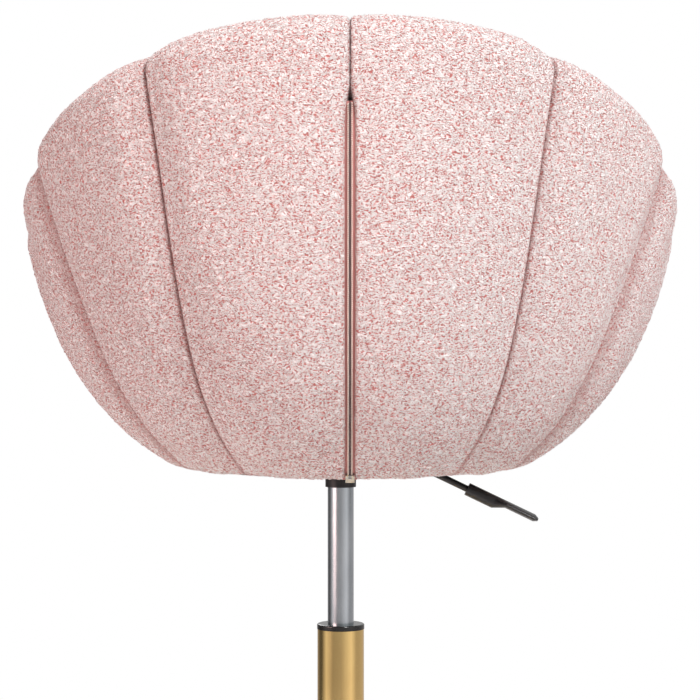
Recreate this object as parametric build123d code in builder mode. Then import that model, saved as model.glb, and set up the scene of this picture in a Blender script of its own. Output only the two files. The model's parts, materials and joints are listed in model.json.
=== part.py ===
from build123d import *
from math import atan, cos, degrees, radians, sin
import os

# Styling chair: a scallop-backed tub seat on a gas lift, a five-leg star base and twin-wheel
# casters. Millimetres, +Z up. The origin is on the floor under the gas lift, the sitter faces
# -Y, and the height lever is on the sitter's right, at -X. The chair is modelled fully raised.

os.makedirs("parts", exist_ok=True)

# ---- Driving dimensions: the upholstered tub
SHELL_X = -10.0  # the tub's middle plane, a little beside the gas lift
SHELL_BOTTOM = 454.0  # underside of the tub above the floor
PROFILE_RADIUS = 366.7  # the tub's outer face is a superellipse turned about its axis
PROFILE_CENTRE = 460.0  # height of its widest place above the underside
PROFILE_HALF_HEIGHT = 500.0
PROFILE_POWER = 2.6
SEAM_ANGLES = (0.0, 32.3, 60.5, 81.0, 105.0, 128.0)  # upright seams, round from the back seam
SEAM_LEANS = (0.0, 0.0, 4.5, 2.0, 1.0, 0.0)  # degrees further round each SEAM_HEIGHT up
SEAM_HEIGHT = 200.0
REST_END_ANGLE = SEAM_ANGLES[-1]  # where the arms end, from the back
RIM_MIDDLE = 347.3  # rim height above the underside: its middle, its swing and how far it bows
RIM_SWING = 118.1
RIM_BOW = 15.0
RIM_LOW_ANGLE = 117.6  # from here forward the rim is level
WALL = 72.0  # padded thickness of the back and arms
RIM_ROUND = 32.0
MOUTH_RADIUS = 165.0  # open bottom of the tub
SEAT_LEVEL = 60.5  # top of the seat board above the underside
OUTER_PAD = 25.0  # foam outside the moulded shell
SKIN_GAP = 0.3  # between foam and the pieces inside it

# ---- Moulded shell and seat board
MOULD_INSET = 22.0
MOULD_THICK = 6.0
MOULD_FLOOR = 39.2
MOULD_BOWL = 60.0
MOULD_BACK_Y = 345.0
MOULD_BACK_HEIGHT = 371.0
MOULD_SLOPE = 0.45
MOULD_TOP = 400.0
MOULD_SETBACK = 4.0  # degrees that its wall stops short of the arms' ends
BOARD_RADIUS = 200.0
BOARD_THICK = 15.0
BOARD_BOTTOM = SHELL_BOTTOM + MOULD_FLOOR + MOULD_THICK
BOARD_TOP = BOARD_BOTTOM + BOARD_THICK
COVER_RADIUS = 163.0
COVER_THICK = 1.2

# ---- Seat cushion
CUSHION_GAP = 3.5
CUSHION_FRONT_RADIUS = 262.0
CUSHION_SIDE_TOP = 566.0
CUSHION_TOP = 586.0
CUSHION_ROUND = 22.0
CUSHION_FRONT_GAP = 1.5  # degrees between the cushion's front and each arm

# ---- Seat plate, its bolts and the lever
PLATE_THICK = 2.5
PLATE_TOP = SHELL_BOTTOM + MOULD_FLOOR - COVER_THICK
PLATE_X, PLATE_Y = 180.0, 220.0
TRAY_FLOOR = 457.0
TRAY_X, TRAY_Y = 120.0, 90.0
BOLT_SPACING_X, BOLT_SPACING_Y = 150.0, 190.0
BOLT_RADIUS = 3.9
BOLT_HEAD_RADIUS, BOLT_HEAD = 6.5, 5.0
WASHER_RADIUS, WASHER_THICK = 8.0, 1.5
NUT_FLANGE_RADIUS, NUT_BARREL_RADIUS, NUT_LENGTH = 11.0, 5.0, 11.0
LEVER_ROD_RADIUS = 3.5
LEVER_LEVEL = 486.0  # inner arm over the release pin
LEVER_BEND_X = -18.0
LEVER_PIVOT_X = -30.0
LEVER_SLOPE = 0.48
LEVER_HUB_RADIUS = 7.0
LEVER_PIN_RADIUS = 2.5
GRIP_START_X, GRIP_TIP_X = -136.0, -210.0
GRIP_RADIUS = 7.0

# ---- Gas lift
COLUMN_RADIUS, COLUMN_WALL = 25.0, 1.5
COLUMN_FOOT_RADIUS = 23.8
COLUMN_BOTTOM, COLUMN_TOP = 62.0, 279.5
COLUMN_TAPER = 65.0
COLUMN_FLOOR = 3.0
TUBE_RADIUS, TUBE_BORE = 14.0, 12.0
TUBE_BOTTOM, TUBE_TOP = 210.0, 472.0
TUBE_TAPER_START, TUBE_TIP_RADIUS = 436.0, 13.25
TUBE_CAP = 20.0
SOCKET_RADIUS = 16.5
SOCKET_BOTTOM, SOCKET_TOP = 432.0, 477.0
ROD_RADIUS = 5.0
PIN_RADIUS = 3.0
RUNNING_FIT = 0.05
CLEARANCE = 0.3

# ---- Star base and casters
LEGS = 5
HUB_RADIUS, HUB_BOTTOM, HUB_TOP = 35.0, 60.0, 127.0
STEM_CIRCLE = 280.0
STEM_RADIUS = 5.5
LEG_WALL = 3.0
WHEEL_RADIUS, WHEEL_WIDTH = 25.0, 16.0
CASTER_TRAIL = 20.0
CASTER_WEB = 14.0
AXLE_RADIUS = 4.0

TUB_AXIS = Axis((SHELL_X, 0, 0), (0, 0, 1))


# ---- Shapes that several pieces share
def outer_radius(height):
    """Outer radius of the tub at a height above its underside."""
    drop = (PROFILE_CENTRE - height) / PROFILE_HALF_HEIGHT
    return PROFILE_RADIUS * (1 - drop**PROFILE_POWER) ** (1 / PROFILE_POWER)


def wall_points(inset, low, high, steps=10):
    """Points up the tub's wall, from low to high, inset from its outer face."""
    heights = [low + (high - low) * (step / steps) ** 1.5 for step in range(steps + 1)]
    return [(outer_radius(height) - inset, SHELL_BOTTOM + height) for height in heights]


def rim_height(angle):
    """Height of the scalloped rim above the tub's underside, by angle from the back."""
    turn = radians(180 * min(angle / RIM_LOW_ANGLE, 1))
    return RIM_MIDDLE + RIM_SWING * cos(turn) - RIM_BOW * cos(2 * turn)


def outward(angle):
    """Level direction away from the tub's axis, by angle from the back (+Y)."""
    return Vector(0, 1, 0).rotate(Axis.Z, angle)


def meridian(angle):
    """Upright plane through the tub's axis: x runs outward, y runs up."""
    return Plane((SHELL_X, 0, 0), x_dir=outward(angle), z_dir=outward(angle).cross(Vector(0, 0, 1)))


def front_wedge(level):
    """Polygon over the open front, between the two ends of the moulded wall."""
    reach = 2 * PROFILE_RADIUS
    wall_end = REST_END_ANGLE - MOULD_SETBACK
    edges = [outward(angle) * reach for angle in (wall_end, 360 - wall_end)]
    with BuildSketch(Plane.XY.offset(level)) as wedge:
        with Locations((SHELL_X, 0)):
            Polygon((0, 0), (edges[0].X, edges[0].Y), (0, -reach), (edges[1].X, edges[1].Y), align=None)
    return wedge.sketch


def mould(gap=0.0):
    """The moulded shell, or the space for it inside the foam when gap is given."""
    outer = wall_points(MOULD_INSET - gap, MOULD_FLOOR - gap, MOULD_TOP + gap)
    inner = wall_points(MOULD_INSET + MOULD_THICK + gap, MOULD_FLOOR + MOULD_THICK + gap, MOULD_TOP + gap)
    with BuildPart() as tub:
        with BuildSketch(meridian(0)):
            with BuildLine():
                Polyline((0, inner[0][1]), (0, outer[0][1]), outer[0])
                Spline(*outer)
                Line(outer[-1], inner[-1])
                Spline(*reversed(inner))
                Line(inner[0], (0, inner[0][1]))
            make_face()
        revolve(axis=TUB_AXIS)
        extrude(front_wedge(SHELL_BOTTOM + MOULD_BOWL + gap), amount=MOULD_TOP, mode=Mode.SUBTRACT)
        cut_height = SHELL_BOTTOM + MOULD_BACK_HEIGHT + gap
        cut = Plane((SHELL_X, MOULD_BACK_Y, cut_height), x_dir=(1, 0, 0), z_dir=(0, -MOULD_SLOPE, 1))
        split(bisect_by=cut, keep=Keep.BOTTOM)
    return tub.part


# ---- The back seam's zipper lies on one arc about a level line across the chair
ZIP_INSET = 10.0
ZIP_FOOT, ZIP_WAIST, ZIP_HEAD = [
    (outer_radius(height) - ZIP_INSET, SHELL_BOTTOM + height) for height in (20.0, 150.0, 350.0)
]
ZIP_ARC = ThreePointArc(ZIP_FOOT, ZIP_WAIST, ZIP_HEAD)
ZIP_RADIUS = ZIP_ARC.radius
ZIP_CENTRE = Vector(SHELL_X, ZIP_ARC.arc_center.X, ZIP_ARC.arc_center.Y)
ZIP_AXIS = Axis(ZIP_CENTRE, (1, 0, 0))
ZIP_START, ZIP_END = -51.0, 4.0  # its ends, in degrees up from level
TAPE_WIDTH, TAPE_THICK = 21.0, 0.8
COIL_WIDTH, COIL_THICK = 6.5, 2.5
ZIP_SLOT = 10.0
SLIDER_WIDTH, SLIDER_WALL, SLIDER_ANGLE = 9.0, 1.0, 1.5
BRIDGE_WIDTH, BRIDGE_HEIGHT, BRIDGE_ANGLE = 3.0, 1.6, 0.9


def zip_strip(width, low, high, start=ZIP_START, end=ZIP_END):
    """A strip along the zipper's arc: its width, its two faces' heights and its two ends."""
    radial = Vector(0, cos(radians(start)), sin(radians(start)))
    section = Plane(ZIP_CENTRE, x_dir=(1, 0, 0), z_dir=Vector(1, 0, 0).cross(radial))
    with BuildPart() as strip:
        with BuildSketch(section):
            with Locations((0, ZIP_RADIUS + (low + high) / 2)):
                Rectangle(width, high - low)
        revolve(axis=ZIP_AXIS, revolution_arc=end - start)
    return strip.part


# ---- Upholstered tub
mould_space = mould(SKIN_GAP)
LIP_TOP = MOULD_FLOOR + 2.8
RIM_MARGIN = 6.0
SEAM_MARGIN = 5.0


def lip_corners(top):
    """Inner corners of the foam below the seat board, from the wall's foot to the mouth."""
    return [
        (outer_radius(top) - OUTER_PAD, SHELL_BOTTOM + top),
        (outer_radius(LIP_TOP) - OUTER_PAD, SHELL_BOTTOM + LIP_TOP),
        (MOUTH_RADIUS, SHELL_BOTTOM + LIP_TOP),
        (MOUTH_RADIUS, SHELL_BOTTOM),
    ]


def seam_plane(number):
    """Plane of a seam, counted round from the back. Its z direction points towards the back."""
    angle = SEAM_ANGLES[number]
    middle = Vector(SHELL_X, 0, SHELL_BOTTOM + SEAM_HEIGHT)
    above = Vector(SHELL_X, 0, SHELL_BOTTOM + 2 * SEAM_HEIGHT)
    low = middle + outward(angle) * outer_radius(SEAM_HEIGHT)
    high = above + outward(angle + SEAM_LEANS[number]) * outer_radius(2 * SEAM_HEIGHT)
    return Plane(middle, x_dir=outward(angle), z_dir=outward(angle).cross(high - low))


def rim_point(angle):
    """Middle of the padded rim."""
    level = Vector(SHELL_X, 0, SHELL_BOTTOM + rim_height(angle))
    return level + outward(angle) * (PROFILE_RADIUS - WALL / 2)


def channel(number):
    """A puffy channel of the sitter's right side, between one seam and the next."""
    start, end = SEAM_ANGLES[number - 1], SEAM_ANGLES[number]
    top = rim_height(start) + RIM_MARGIN
    outer = wall_points(0, 0, top)
    inner = wall_points(WALL, SEAT_LEVEL, top)
    lip = lip_corners(SEAT_LEVEL)
    middle = outward((start + end) / 2)
    rims = [rim_point(start), rim_point(end)]
    cut = Plane(rims[0], x_dir=middle, z_dir=middle.cross(rims[1] - rims[0]))
    with BuildPart() as pad:
        with BuildSketch(meridian(start - SEAM_MARGIN)):
            with BuildLine():
                Line(lip[-1], outer[0])
                Spline(*outer)
                Line(outer[-1], inner[-1])
                Spline(*reversed(inner))
                Polyline(inner[0], *lip)
            make_face()
        revolve(axis=TUB_AXIS, revolution_arc=end - start + 2 * SEAM_MARGIN)
        split(bisect_by=seam_plane(number - 1), keep=Keep.BOTTOM)
        split(bisect_by=seam_plane(number), keep=Keep.TOP)
        split(bisect_by=cut, keep=Keep.BOTTOM)
        rim = pad.faces().sort_by(Axis.Z)[-1]
        fillet(rim.edges().sort_by(SortBy.LENGTH)[-2:], RIM_ROUND)
        add(mould_space, mode=Mode.SUBTRACT)
        if number == 1:
            pocket = TAPE_THICK / 2 + SKIN_GAP
            add(zip_strip(TAPE_WIDTH + 2 * SKIN_GAP, -pocket, pocket, ZIP_START - 3), mode=Mode.SUBTRACT)
            add(zip_strip(ZIP_SLOT, 0, ZIP_INSET * 3, ZIP_START - 3), mode=Mode.SUBTRACT)
    return pad.part


for number in range(1, len(SEAM_ANGLES)):
    right = channel(number)
    right.label = f"channel_right_{number}"
    export_step(right, f"parts/channel_right_{number}.step")
    left = mirror(right, about=Plane.YZ.offset(SHELL_X))
    left.label = f"channel_left_{number}"
    export_step(left, f"parts/channel_left_{number}.step")

# The band of padding under the seat's front edge
front_outer = wall_points(0, 0, MOULD_BOWL)
with BuildPart() as front_pad:
    with BuildSketch(meridian(REST_END_ANGLE)):
        with BuildLine():
            Line((MOUTH_RADIUS, SHELL_BOTTOM), front_outer[0])
            Spline(*front_outer)
            Polyline(front_outer[-1], *lip_corners(MOULD_BOWL))
        make_face()
    revolve(axis=TUB_AXIS, revolution_arc=360 - 2 * REST_END_ANGLE)
    add(mould_space, mode=Mode.SUBTRACT)
front_pad.part.label = "front_pad"
export_step(front_pad.part, "parts/front_pad.step")

# Seat cushion: round behind, and out over the front pad between the arms
CUSHION_FOOT = SHELL_BOTTOM + SEAT_LEVEL
side_wall = wall_points(WALL + CUSHION_GAP, SEAT_LEVEL, CUSHION_SIDE_TOP - SHELL_BOTTOM, 6)
front_wall = [
    (CUSHION_FRONT_RADIUS, CUSHION_FOOT),
    (CUSHION_FRONT_RADIUS + 4, (CUSHION_FOOT + CUSHION_SIDE_TOP) / 2),
    (CUSHION_FRONT_RADIUS, CUSHION_SIDE_TOP),
]
front_start = REST_END_ANGLE + CUSHION_FRONT_GAP
with BuildPart() as seat_cushion:
    for wall, start, arc in ((side_wall, 0, 360), (front_wall, front_start, 360 - 2 * front_start)):
        shoulder = (wall[-1][0] - CUSHION_ROUND, CUSHION_TOP)
        bulge = (wall[-1][0] - CUSHION_ROUND * 0.3, CUSHION_TOP - CUSHION_ROUND * 0.2)
        with BuildSketch(meridian(start)):
            with BuildLine():
                Polyline((0, CUSHION_TOP), (0, CUSHION_FOOT), wall[0])
                Spline(*wall)
                ThreePointArc(wall[-1], bulge, shoulder)
                Line(shoulder, (0, CUSHION_TOP))
            make_face()
        revolve(axis=TUB_AXIS, revolution_arc=arc)
seat_cushion.part.label = "seat_cushion"
export_step(seat_cushion.part, "parts/seat_cushion.step")

# Moulded shell inside the foam, with the bolt holes through its floor
bolt_places = GridLocations(BOLT_SPACING_X, BOLT_SPACING_Y, 2, 2)
BOLT_HOLE = BOLT_RADIUS + 2 * CLEARANCE
with BuildPart() as inner_shell:
    add(mould())
    with BuildSketch(Plane.XY.offset(SHELL_BOTTOM + MOULD_FLOOR)):
        with bolt_places:
            Circle(BOLT_HOLE)
    extrude(amount=MOULD_THICK, mode=Mode.SUBTRACT)
inner_shell.part.label = "inner_shell"
export_step(inner_shell.part, "parts/inner_shell.step")

# Plywood seat board, bored for the tee nuts
with BuildPart() as seat_board:
    with BuildSketch(Plane.XY.offset(BOARD_BOTTOM)):
        with Locations((SHELL_X, 0)):
            Circle(BOARD_RADIUS)
        with bolt_places:
            Circle(NUT_BARREL_RADIUS, mode=Mode.SUBTRACT)
    extrude(amount=BOARD_THICK)
    with BuildSketch(Plane.XY.offset(BOARD_TOP - WASHER_THICK)):
        with bolt_places:
            Circle(NUT_FLANGE_RADIUS)
    extrude(amount=WASHER_THICK, mode=Mode.SUBTRACT)
seat_board.part.label = "seat_board"
export_step(seat_board.part, "parts/seat_board.step")

# Cloth cover stapled under the tub
with BuildPart() as dust_cover:
    with BuildSketch(Plane.XY.offset(PLATE_TOP)):
        with Locations((SHELL_X, 0)):
            Circle(COVER_RADIUS)
        with bolt_places:
            Circle(BOLT_HOLE, mode=Mode.SUBTRACT)
    extrude(amount=COVER_THICK)
dust_cover.part.label = "dust_cover"
export_step(dust_cover.part, "parts/dust_cover.step")

# ---- Zipper in the back seam
TAPE_TOP = TAPE_THICK / 2
COIL_TOP = TAPE_TOP + COIL_THICK
zipper_tape = zip_strip(TAPE_WIDTH, -TAPE_TOP, TAPE_TOP)
zipper_coil = zip_strip(COIL_WIDTH, TAPE_TOP, COIL_TOP)
zipper_chain = Compound(label="zipper_chain", children=[zipper_tape, zipper_coil])
export_step(zipper_chain, "parts/zipper_chain.step")

# The slider straddles the coil's foot and runs up it
slider_span = (ZIP_START, ZIP_START + SLIDER_ANGLE)
slider_top = COIL_TOP + CLEARANCE + SLIDER_WALL
bridge_start = ZIP_START + (SLIDER_ANGLE - BRIDGE_ANGLE) / 2
bridge_span = (bridge_start, bridge_start + BRIDGE_ANGLE)
with BuildPart() as zipper_slider:
    add(zip_strip(SLIDER_WIDTH, TAPE_TOP + CLEARANCE, slider_top, *slider_span))
    add(
        zip_strip(COIL_WIDTH + 2 * CLEARANCE, 0, COIL_TOP + CLEARANCE, ZIP_START - 1, ZIP_START + 3),
        mode=Mode.SUBTRACT,
    )
    add(zip_strip(BRIDGE_WIDTH, slider_top, slider_top + BRIDGE_HEIGHT, *bridge_span))
zipper_slider.part.label = "zipper_slider"
export_step(zipper_slider.part, "parts/zipper_slider.step")

# ---- Seat plate: a pressed tray with a bolting flange and two ears for the lever
LEVER_PIVOT_Z = LEVER_LEVEL - LEVER_SLOPE * (LEVER_BEND_X - LEVER_PIVOT_X)
EAR_GAP = 8.0
SLOT_HEIGHT = 18.0
PLATE_CORNER = 12.0
with BuildPart() as seat_plate:
    with BuildSketch(Plane.XY.offset(PLATE_TOP - PLATE_THICK)):
        RectangleRounded(PLATE_X, PLATE_Y, PLATE_CORNER)
        with bolt_places:
            Circle(BOLT_HOLE, mode=Mode.SUBTRACT)
    extrude(amount=PLATE_THICK)
    with BuildSketch(Plane.XY.offset(TRAY_FLOOR)):
        RectangleRounded(TRAY_X, TRAY_Y, PLATE_CORNER)
    extrude(amount=PLATE_TOP - TRAY_FLOOR)
    with BuildSketch(Plane.XY.offset(TRAY_FLOOR + PLATE_THICK)):
        RectangleRounded(TRAY_X - 2 * PLATE_THICK, TRAY_Y - 2 * PLATE_THICK, PLATE_CORNER - PLATE_THICK)
    extrude(amount=PLATE_TOP - TRAY_FLOOR, mode=Mode.SUBTRACT)
    with BuildSketch(Plane.XY.offset(TRAY_FLOOR)):
        Circle(SOCKET_RADIUS)
    extrude(amount=PLATE_THICK, mode=Mode.SUBTRACT)
    with BuildSketch(Plane.YZ.offset(-TRAY_X / 2)):
        with Locations((0, TRAY_FLOOR + PLATE_THICK + SLOT_HEIGHT / 2)):
            Rectangle(3 * LEVER_ROD_RADIUS, SLOT_HEIGHT)
    extrude(amount=PLATE_THICK, mode=Mode.SUBTRACT)
    for ear_face in (EAR_GAP + PLATE_THICK, -EAR_GAP):
        with BuildSketch(Plane.XZ.offset(-ear_face)):
            with Locations((LEVER_PIVOT_X, LEVER_PIVOT_Z)):
                Circle(EAR_GAP)
            ear_foot = TRAY_FLOOR + PLATE_THICK
            with Locations((LEVER_PIVOT_X, (ear_foot + LEVER_PIVOT_Z) / 2)):
                Rectangle(2 * EAR_GAP, LEVER_PIVOT_Z - ear_foot)
            with Locations((LEVER_PIVOT_X, LEVER_PIVOT_Z)):
                Circle(LEVER_PIN_RADIUS, mode=Mode.SUBTRACT)
        extrude(amount=PLATE_THICK)
seat_plate.part.label = "seat_plate"
export_step(seat_plate.part, "parts/seat_plate.step")

# Four hexagon bolts, each with its washer
WASHER_BOTTOM = PLATE_TOP - PLATE_THICK - WASHER_THICK
with BuildPart() as plate_bolts:
    with BuildSketch(Plane.XY.offset(WASHER_BOTTOM - BOLT_HEAD)):
        with bolt_places:
            RegularPolygon(BOLT_HEAD_RADIUS, 6)
    extrude(amount=BOLT_HEAD - SKIN_GAP / 3)
    with BuildSketch(Plane.XY.offset(WASHER_BOTTOM - SKIN_GAP / 3)):
        with bolt_places:
            Circle(BOLT_RADIUS)
    extrude(amount=BOARD_TOP - WASHER_BOTTOM - WASHER_THICK)
    with BuildSketch(Plane.XY.offset(WASHER_BOTTOM)):
        with bolt_places:
            Circle(WASHER_RADIUS)
            Circle(BOLT_RADIUS + CLEARANCE, mode=Mode.SUBTRACT)
    extrude(amount=WASHER_THICK)
plate_bolts.part.label = "plate_bolts"
export_step(plate_bolts.part, "parts/plate_bolts.step")

with BuildPart() as tee_nuts:
    with BuildSketch(Plane.XY.offset(BOARD_TOP - WASHER_THICK)):
        with bolt_places:
            Circle(NUT_FLANGE_RADIUS)
            Circle(BOLT_RADIUS + 0.1, mode=Mode.SUBTRACT)
    extrude(amount=WASHER_THICK)
    with BuildSketch(Plane.XY.offset(BOARD_TOP - NUT_LENGTH)):
        with bolt_places:
            Circle(NUT_BARREL_RADIUS)
            Circle(BOLT_RADIUS + 0.1, mode=Mode.SUBTRACT)
    extrude(amount=NUT_LENGTH - WASHER_THICK)
tee_nuts.part.label = "tee_nuts"
export_step(tee_nuts.part, "parts/tee_nuts.step")

# ---- Height lever: a bent rod on a pivot pin, and its moulded grip
lever_pivot = Vector(LEVER_PIVOT_X, 0, LEVER_PIVOT_Z)
lever_tilt = atan(LEVER_SLOPE)
lever_run = Vector(-cos(lever_tilt), 0, -sin(lever_tilt))
GRIP_SOCKET = 30.0
GRIP_LENGTH = (GRIP_START_X - GRIP_TIP_X) / cos(lever_tilt)
GRIP_SLEEVE = 32.0
PADDLE_WIDTH, PADDLE_THICK, PADDLE_START = 26.0, 7.8, 45.0
PADDLE_TIP = 4.0


def on_lever(x):
    """Point on the lever's sloping axis at x."""
    return Vector(x, 0, LEVER_LEVEL - LEVER_SLOPE * (LEVER_BEND_X - x))


def across_lever(distance):
    """Plane square to the lever, that far along the grip."""
    return Plane(on_lever(GRIP_START_X) + lever_run * distance, x_dir=(0, 1, 0), z_dir=lever_run)


def crosswise(point, radius, half_length):
    """A rod lying along Y."""
    with BuildPart() as rod:
        with BuildSketch(Plane(point, z_dir=(0, 1, 0))):
            Circle(radius)
        extrude(amount=half_length, both=True)
    return rod.part


rod_tip = Vector(LEVER_PIVOT_X + 36, 0, LEVER_LEVEL)
rod_end = on_lever(GRIP_START_X) + lever_run * GRIP_SOCKET
with BuildPart() as lever_rod:
    with BuildLine() as lever_path:
        FilletPolyline(rod_tip, on_lever(LEVER_BEND_X), rod_end, radius=15)
    with BuildSketch(Plane(rod_tip, z_dir=(-1, 0, 0))):
        Circle(LEVER_ROD_RADIUS)
    sweep()
    add(crosswise(lever_pivot, LEVER_HUB_RADIUS, EAR_GAP - 1))
    add(crosswise(lever_pivot, LEVER_PIN_RADIUS + RUNNING_FIT, 2 * EAR_GAP), mode=Mode.SUBTRACT)
lever_rod.part.label = "lever_rod"
export_step(lever_rod.part, "parts/lever_rod.step")

# The grip's sleeve flattens into a paddle along its upper side (y runs down across the lever)
paddle_lift = PADDLE_THICK / 2 - GRIP_RADIUS
with BuildPart() as lever_grip:
    with BuildSketch(across_lever(0)):
        Circle(GRIP_RADIUS)
    extrude(amount=GRIP_SLEEVE)
    with BuildSketch(across_lever(GRIP_SLEEVE)):
        Circle(GRIP_RADIUS)
    with BuildSketch(across_lever(PADDLE_START)):
        with Locations((0, paddle_lift)):
            Ellipse(PADDLE_WIDTH / 2 - 2, PADDLE_THICK / 2)
    with BuildSketch(across_lever(GRIP_LENGTH - PADDLE_TIP)):
        with Locations((0, paddle_lift)):
            Ellipse(PADDLE_WIDTH / 2, PADDLE_THICK / 2)
    with BuildSketch(across_lever(GRIP_LENGTH)):
        with Locations((0, paddle_lift)):
            Ellipse(PADDLE_WIDTH / 2 - PADDLE_TIP, PADDLE_THICK / 4)
    loft(ruled=True)
    with BuildSketch(across_lever(0)):
        Circle(LEVER_ROD_RADIUS)
    extrude(amount=GRIP_SOCKET, mode=Mode.SUBTRACT)
lever_grip.part.label = "lever_grip"
export_step(lever_grip.part, "parts/lever_grip.step")

with BuildPart() as lever_pivot_pin:
    add(crosswise(lever_pivot, LEVER_PIN_RADIUS, EAR_GAP + PLATE_THICK + 1.5))
    for head_y in (EAR_GAP + PLATE_THICK + 0.75, -EAR_GAP - PLATE_THICK - 0.75):
        add(crosswise(lever_pivot + Vector(0, head_y, 0), LEVER_PIN_RADIUS + 1.5, 0.75))
lever_pivot_pin.part.label = "lever_pivot_pin"
export_step(lever_pivot_pin.part, "parts/lever_pivot_pin.step")


# ---- Gas lift, all of it turned about the column's axis
def turned(*corners):
    """A solid turned about the gas lift's axis from (radius, height) corners."""
    with BuildPart() as piece:
        with BuildSketch(Plane.XZ):
            Polygon(*corners, align=None)
        revolve(axis=Axis.Z)
    return piece.part


def ring(inner, outer, low, high):
    """A plain ring about the gas lift's axis."""
    return turned((inner, low), (outer, low), (outer, high), (inner, high))


taper_top = COLUMN_BOTTOM + COLUMN_TAPER
floor_top = COLUMN_BOTTOM + COLUMN_FLOOR
column_bore = COLUMN_RADIUS - COLUMN_WALL
gas_column = turned(
    (ROD_RADIUS + CLEARANCE, COLUMN_BOTTOM),
    (COLUMN_FOOT_RADIUS, COLUMN_BOTTOM),
    (COLUMN_RADIUS, taper_top),
    (COLUMN_RADIUS, COLUMN_TOP),
    (column_bore, COLUMN_TOP),
    (column_bore, taper_top),
    (COLUMN_FOOT_RADIUS - COLUMN_WALL, floor_top),
    (ROD_RADIUS + CLEARANCE, floor_top),
)
gas_column.label = "gas_column"
export_step(gas_column, "parts/gas_column.step")

# Collar and guide bush in the column's mouth
BUSH_COLLAR_RADIUS, BUSH_COLLAR = 25.4, 5.5
BUSH_BOTTOM = TUBE_BOTTOM - 0.5
with BuildPart() as guide_bush:
    add(ring(TUBE_RADIUS + RUNNING_FIT, column_bore, BUSH_BOTTOM, COLUMN_TOP))
    add(ring(TUBE_RADIUS + RUNNING_FIT, BUSH_COLLAR_RADIUS, COLUMN_TOP, COLUMN_TOP + BUSH_COLLAR))
    fillet(guide_bush.edges().filter_by(GeomType.CIRCLE).group_by(Axis.Z)[-1].sort_by(SortBy.RADIUS)[-1], 1.5)
guide_bush.part.label = "guide_bush"
export_step(guide_bush.part, "parts/guide_bush.step")

# Thrust bearing on the column's floor: two races and their balls
RACE_INNER, RACE_OUTER, RACE_THICK, BALL_RADIUS = 5.5, 14.0, 1.2, 1.3
BEARING_TOP = floor_top + 2 * RACE_THICK + 2 * BALL_RADIUS
with BuildPart() as thrust_bearing:
    add(ring(RACE_INNER, RACE_OUTER, floor_top, floor_top + RACE_THICK))
    add(ring(RACE_INNER, RACE_OUTER, BEARING_TOP - RACE_THICK, BEARING_TOP))
    with Locations((0, 0, floor_top + RACE_THICK + BALL_RADIUS)):
        with PolarLocations((RACE_INNER + RACE_OUTER) / 2, 12):
            Sphere(BALL_RADIUS - 0.02)
thrust_bearing.part.label = "thrust_bearing"
export_step(thrust_bearing.part, "parts/thrust_bearing.step")

# Piston rod with its shoulder, clip, rubber stop and piston
ROD_BOTTOM, PISTON_BOTTOM, PISTON_THICK = 58.0, TUBE_BOTTOM + 18.5, 12.0
ROD_TOP = PISTON_BOTTOM + PISTON_THICK + 2.5
SHOULDER_BOTTOM = BEARING_TOP + CLEARANCE
SHOULDER_RADIUS, SHOULDER_THICK = 9.0, 3.0
with BuildPart() as piston_rod:
    add(turned((0, ROD_BOTTOM), (ROD_RADIUS, ROD_BOTTOM), (ROD_RADIUS, ROD_TOP), (0, ROD_TOP)))
    add(ring(ROD_RADIUS / 2, SHOULDER_RADIUS, SHOULDER_BOTTOM, SHOULDER_BOTTOM + SHOULDER_THICK))
piston_rod.part.label = "piston_rod"
export_step(piston_rod.part, "parts/piston_rod.step")

piston_head = ring(ROD_RADIUS, TUBE_BORE - RUNNING_FIT, PISTON_BOTTOM, PISTON_BOTTOM + PISTON_THICK)
piston_head.label = "piston_head"
export_step(piston_head, "parts/piston_head.step")

rod_clip = ring(ROD_RADIUS, SHOULDER_RADIUS, COLUMN_BOTTOM - 2.2, COLUMN_BOTTOM - CLEARANCE)
rod_clip.label = "rod_clip"
export_step(rod_clip, "parts/rod_clip.step")

STOP_BOTTOM, STOP_TOP, STOP_RADIUS = SHOULDER_BOTTOM + SHOULDER_THICK, 90.0, 12.0
with BuildPart() as bump_stop:
    add(ring(ROD_RADIUS, STOP_RADIUS, STOP_BOTTOM, STOP_TOP))
    fillet(bump_stop.edges().filter_by(GeomType.CIRCLE).sort_by(SortBy.RADIUS)[-2:], 2)
bump_stop.part.label = "bump_stop"
export_step(bump_stop.part, "parts/bump_stop.step")

# Pressure tube, which slides on the piston and tapers into the seat's socket
pressure_tube = turned(
    (TUBE_BORE, TUBE_BOTTOM),
    (TUBE_RADIUS, TUBE_BOTTOM),
    (TUBE_RADIUS, TUBE_TAPER_START),
    (TUBE_TIP_RADIUS, TUBE_TOP),
    (PIN_RADIUS + RUNNING_FIT, TUBE_TOP),
    (PIN_RADIUS + RUNNING_FIT, TUBE_TOP - TUBE_CAP),
    (TUBE_BORE, TUBE_TOP - TUBE_CAP),
)
pressure_tube.label = "pressure_tube"
export_step(pressure_tube, "parts/pressure_tube.step")

rod_guide = ring(ROD_RADIUS + RUNNING_FIT, TUBE_BORE, TUBE_BOTTOM, PISTON_BOTTOM - 0.5)
rod_guide.label = "rod_guide"
export_step(rod_guide, "parts/rod_guide.step")

taper_socket = turned(
    (TUBE_RADIUS, SOCKET_BOTTOM),
    (SOCKET_RADIUS, SOCKET_BOTTOM),
    (SOCKET_RADIUS, SOCKET_TOP),
    (TUBE_TIP_RADIUS, SOCKET_TOP),
    (TUBE_TIP_RADIUS, TUBE_TOP),
    (TUBE_RADIUS, TUBE_TAPER_START),
)
taper_socket.label = "taper_socket"
export_step(taper_socket, "parts/taper_socket.step")

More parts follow.
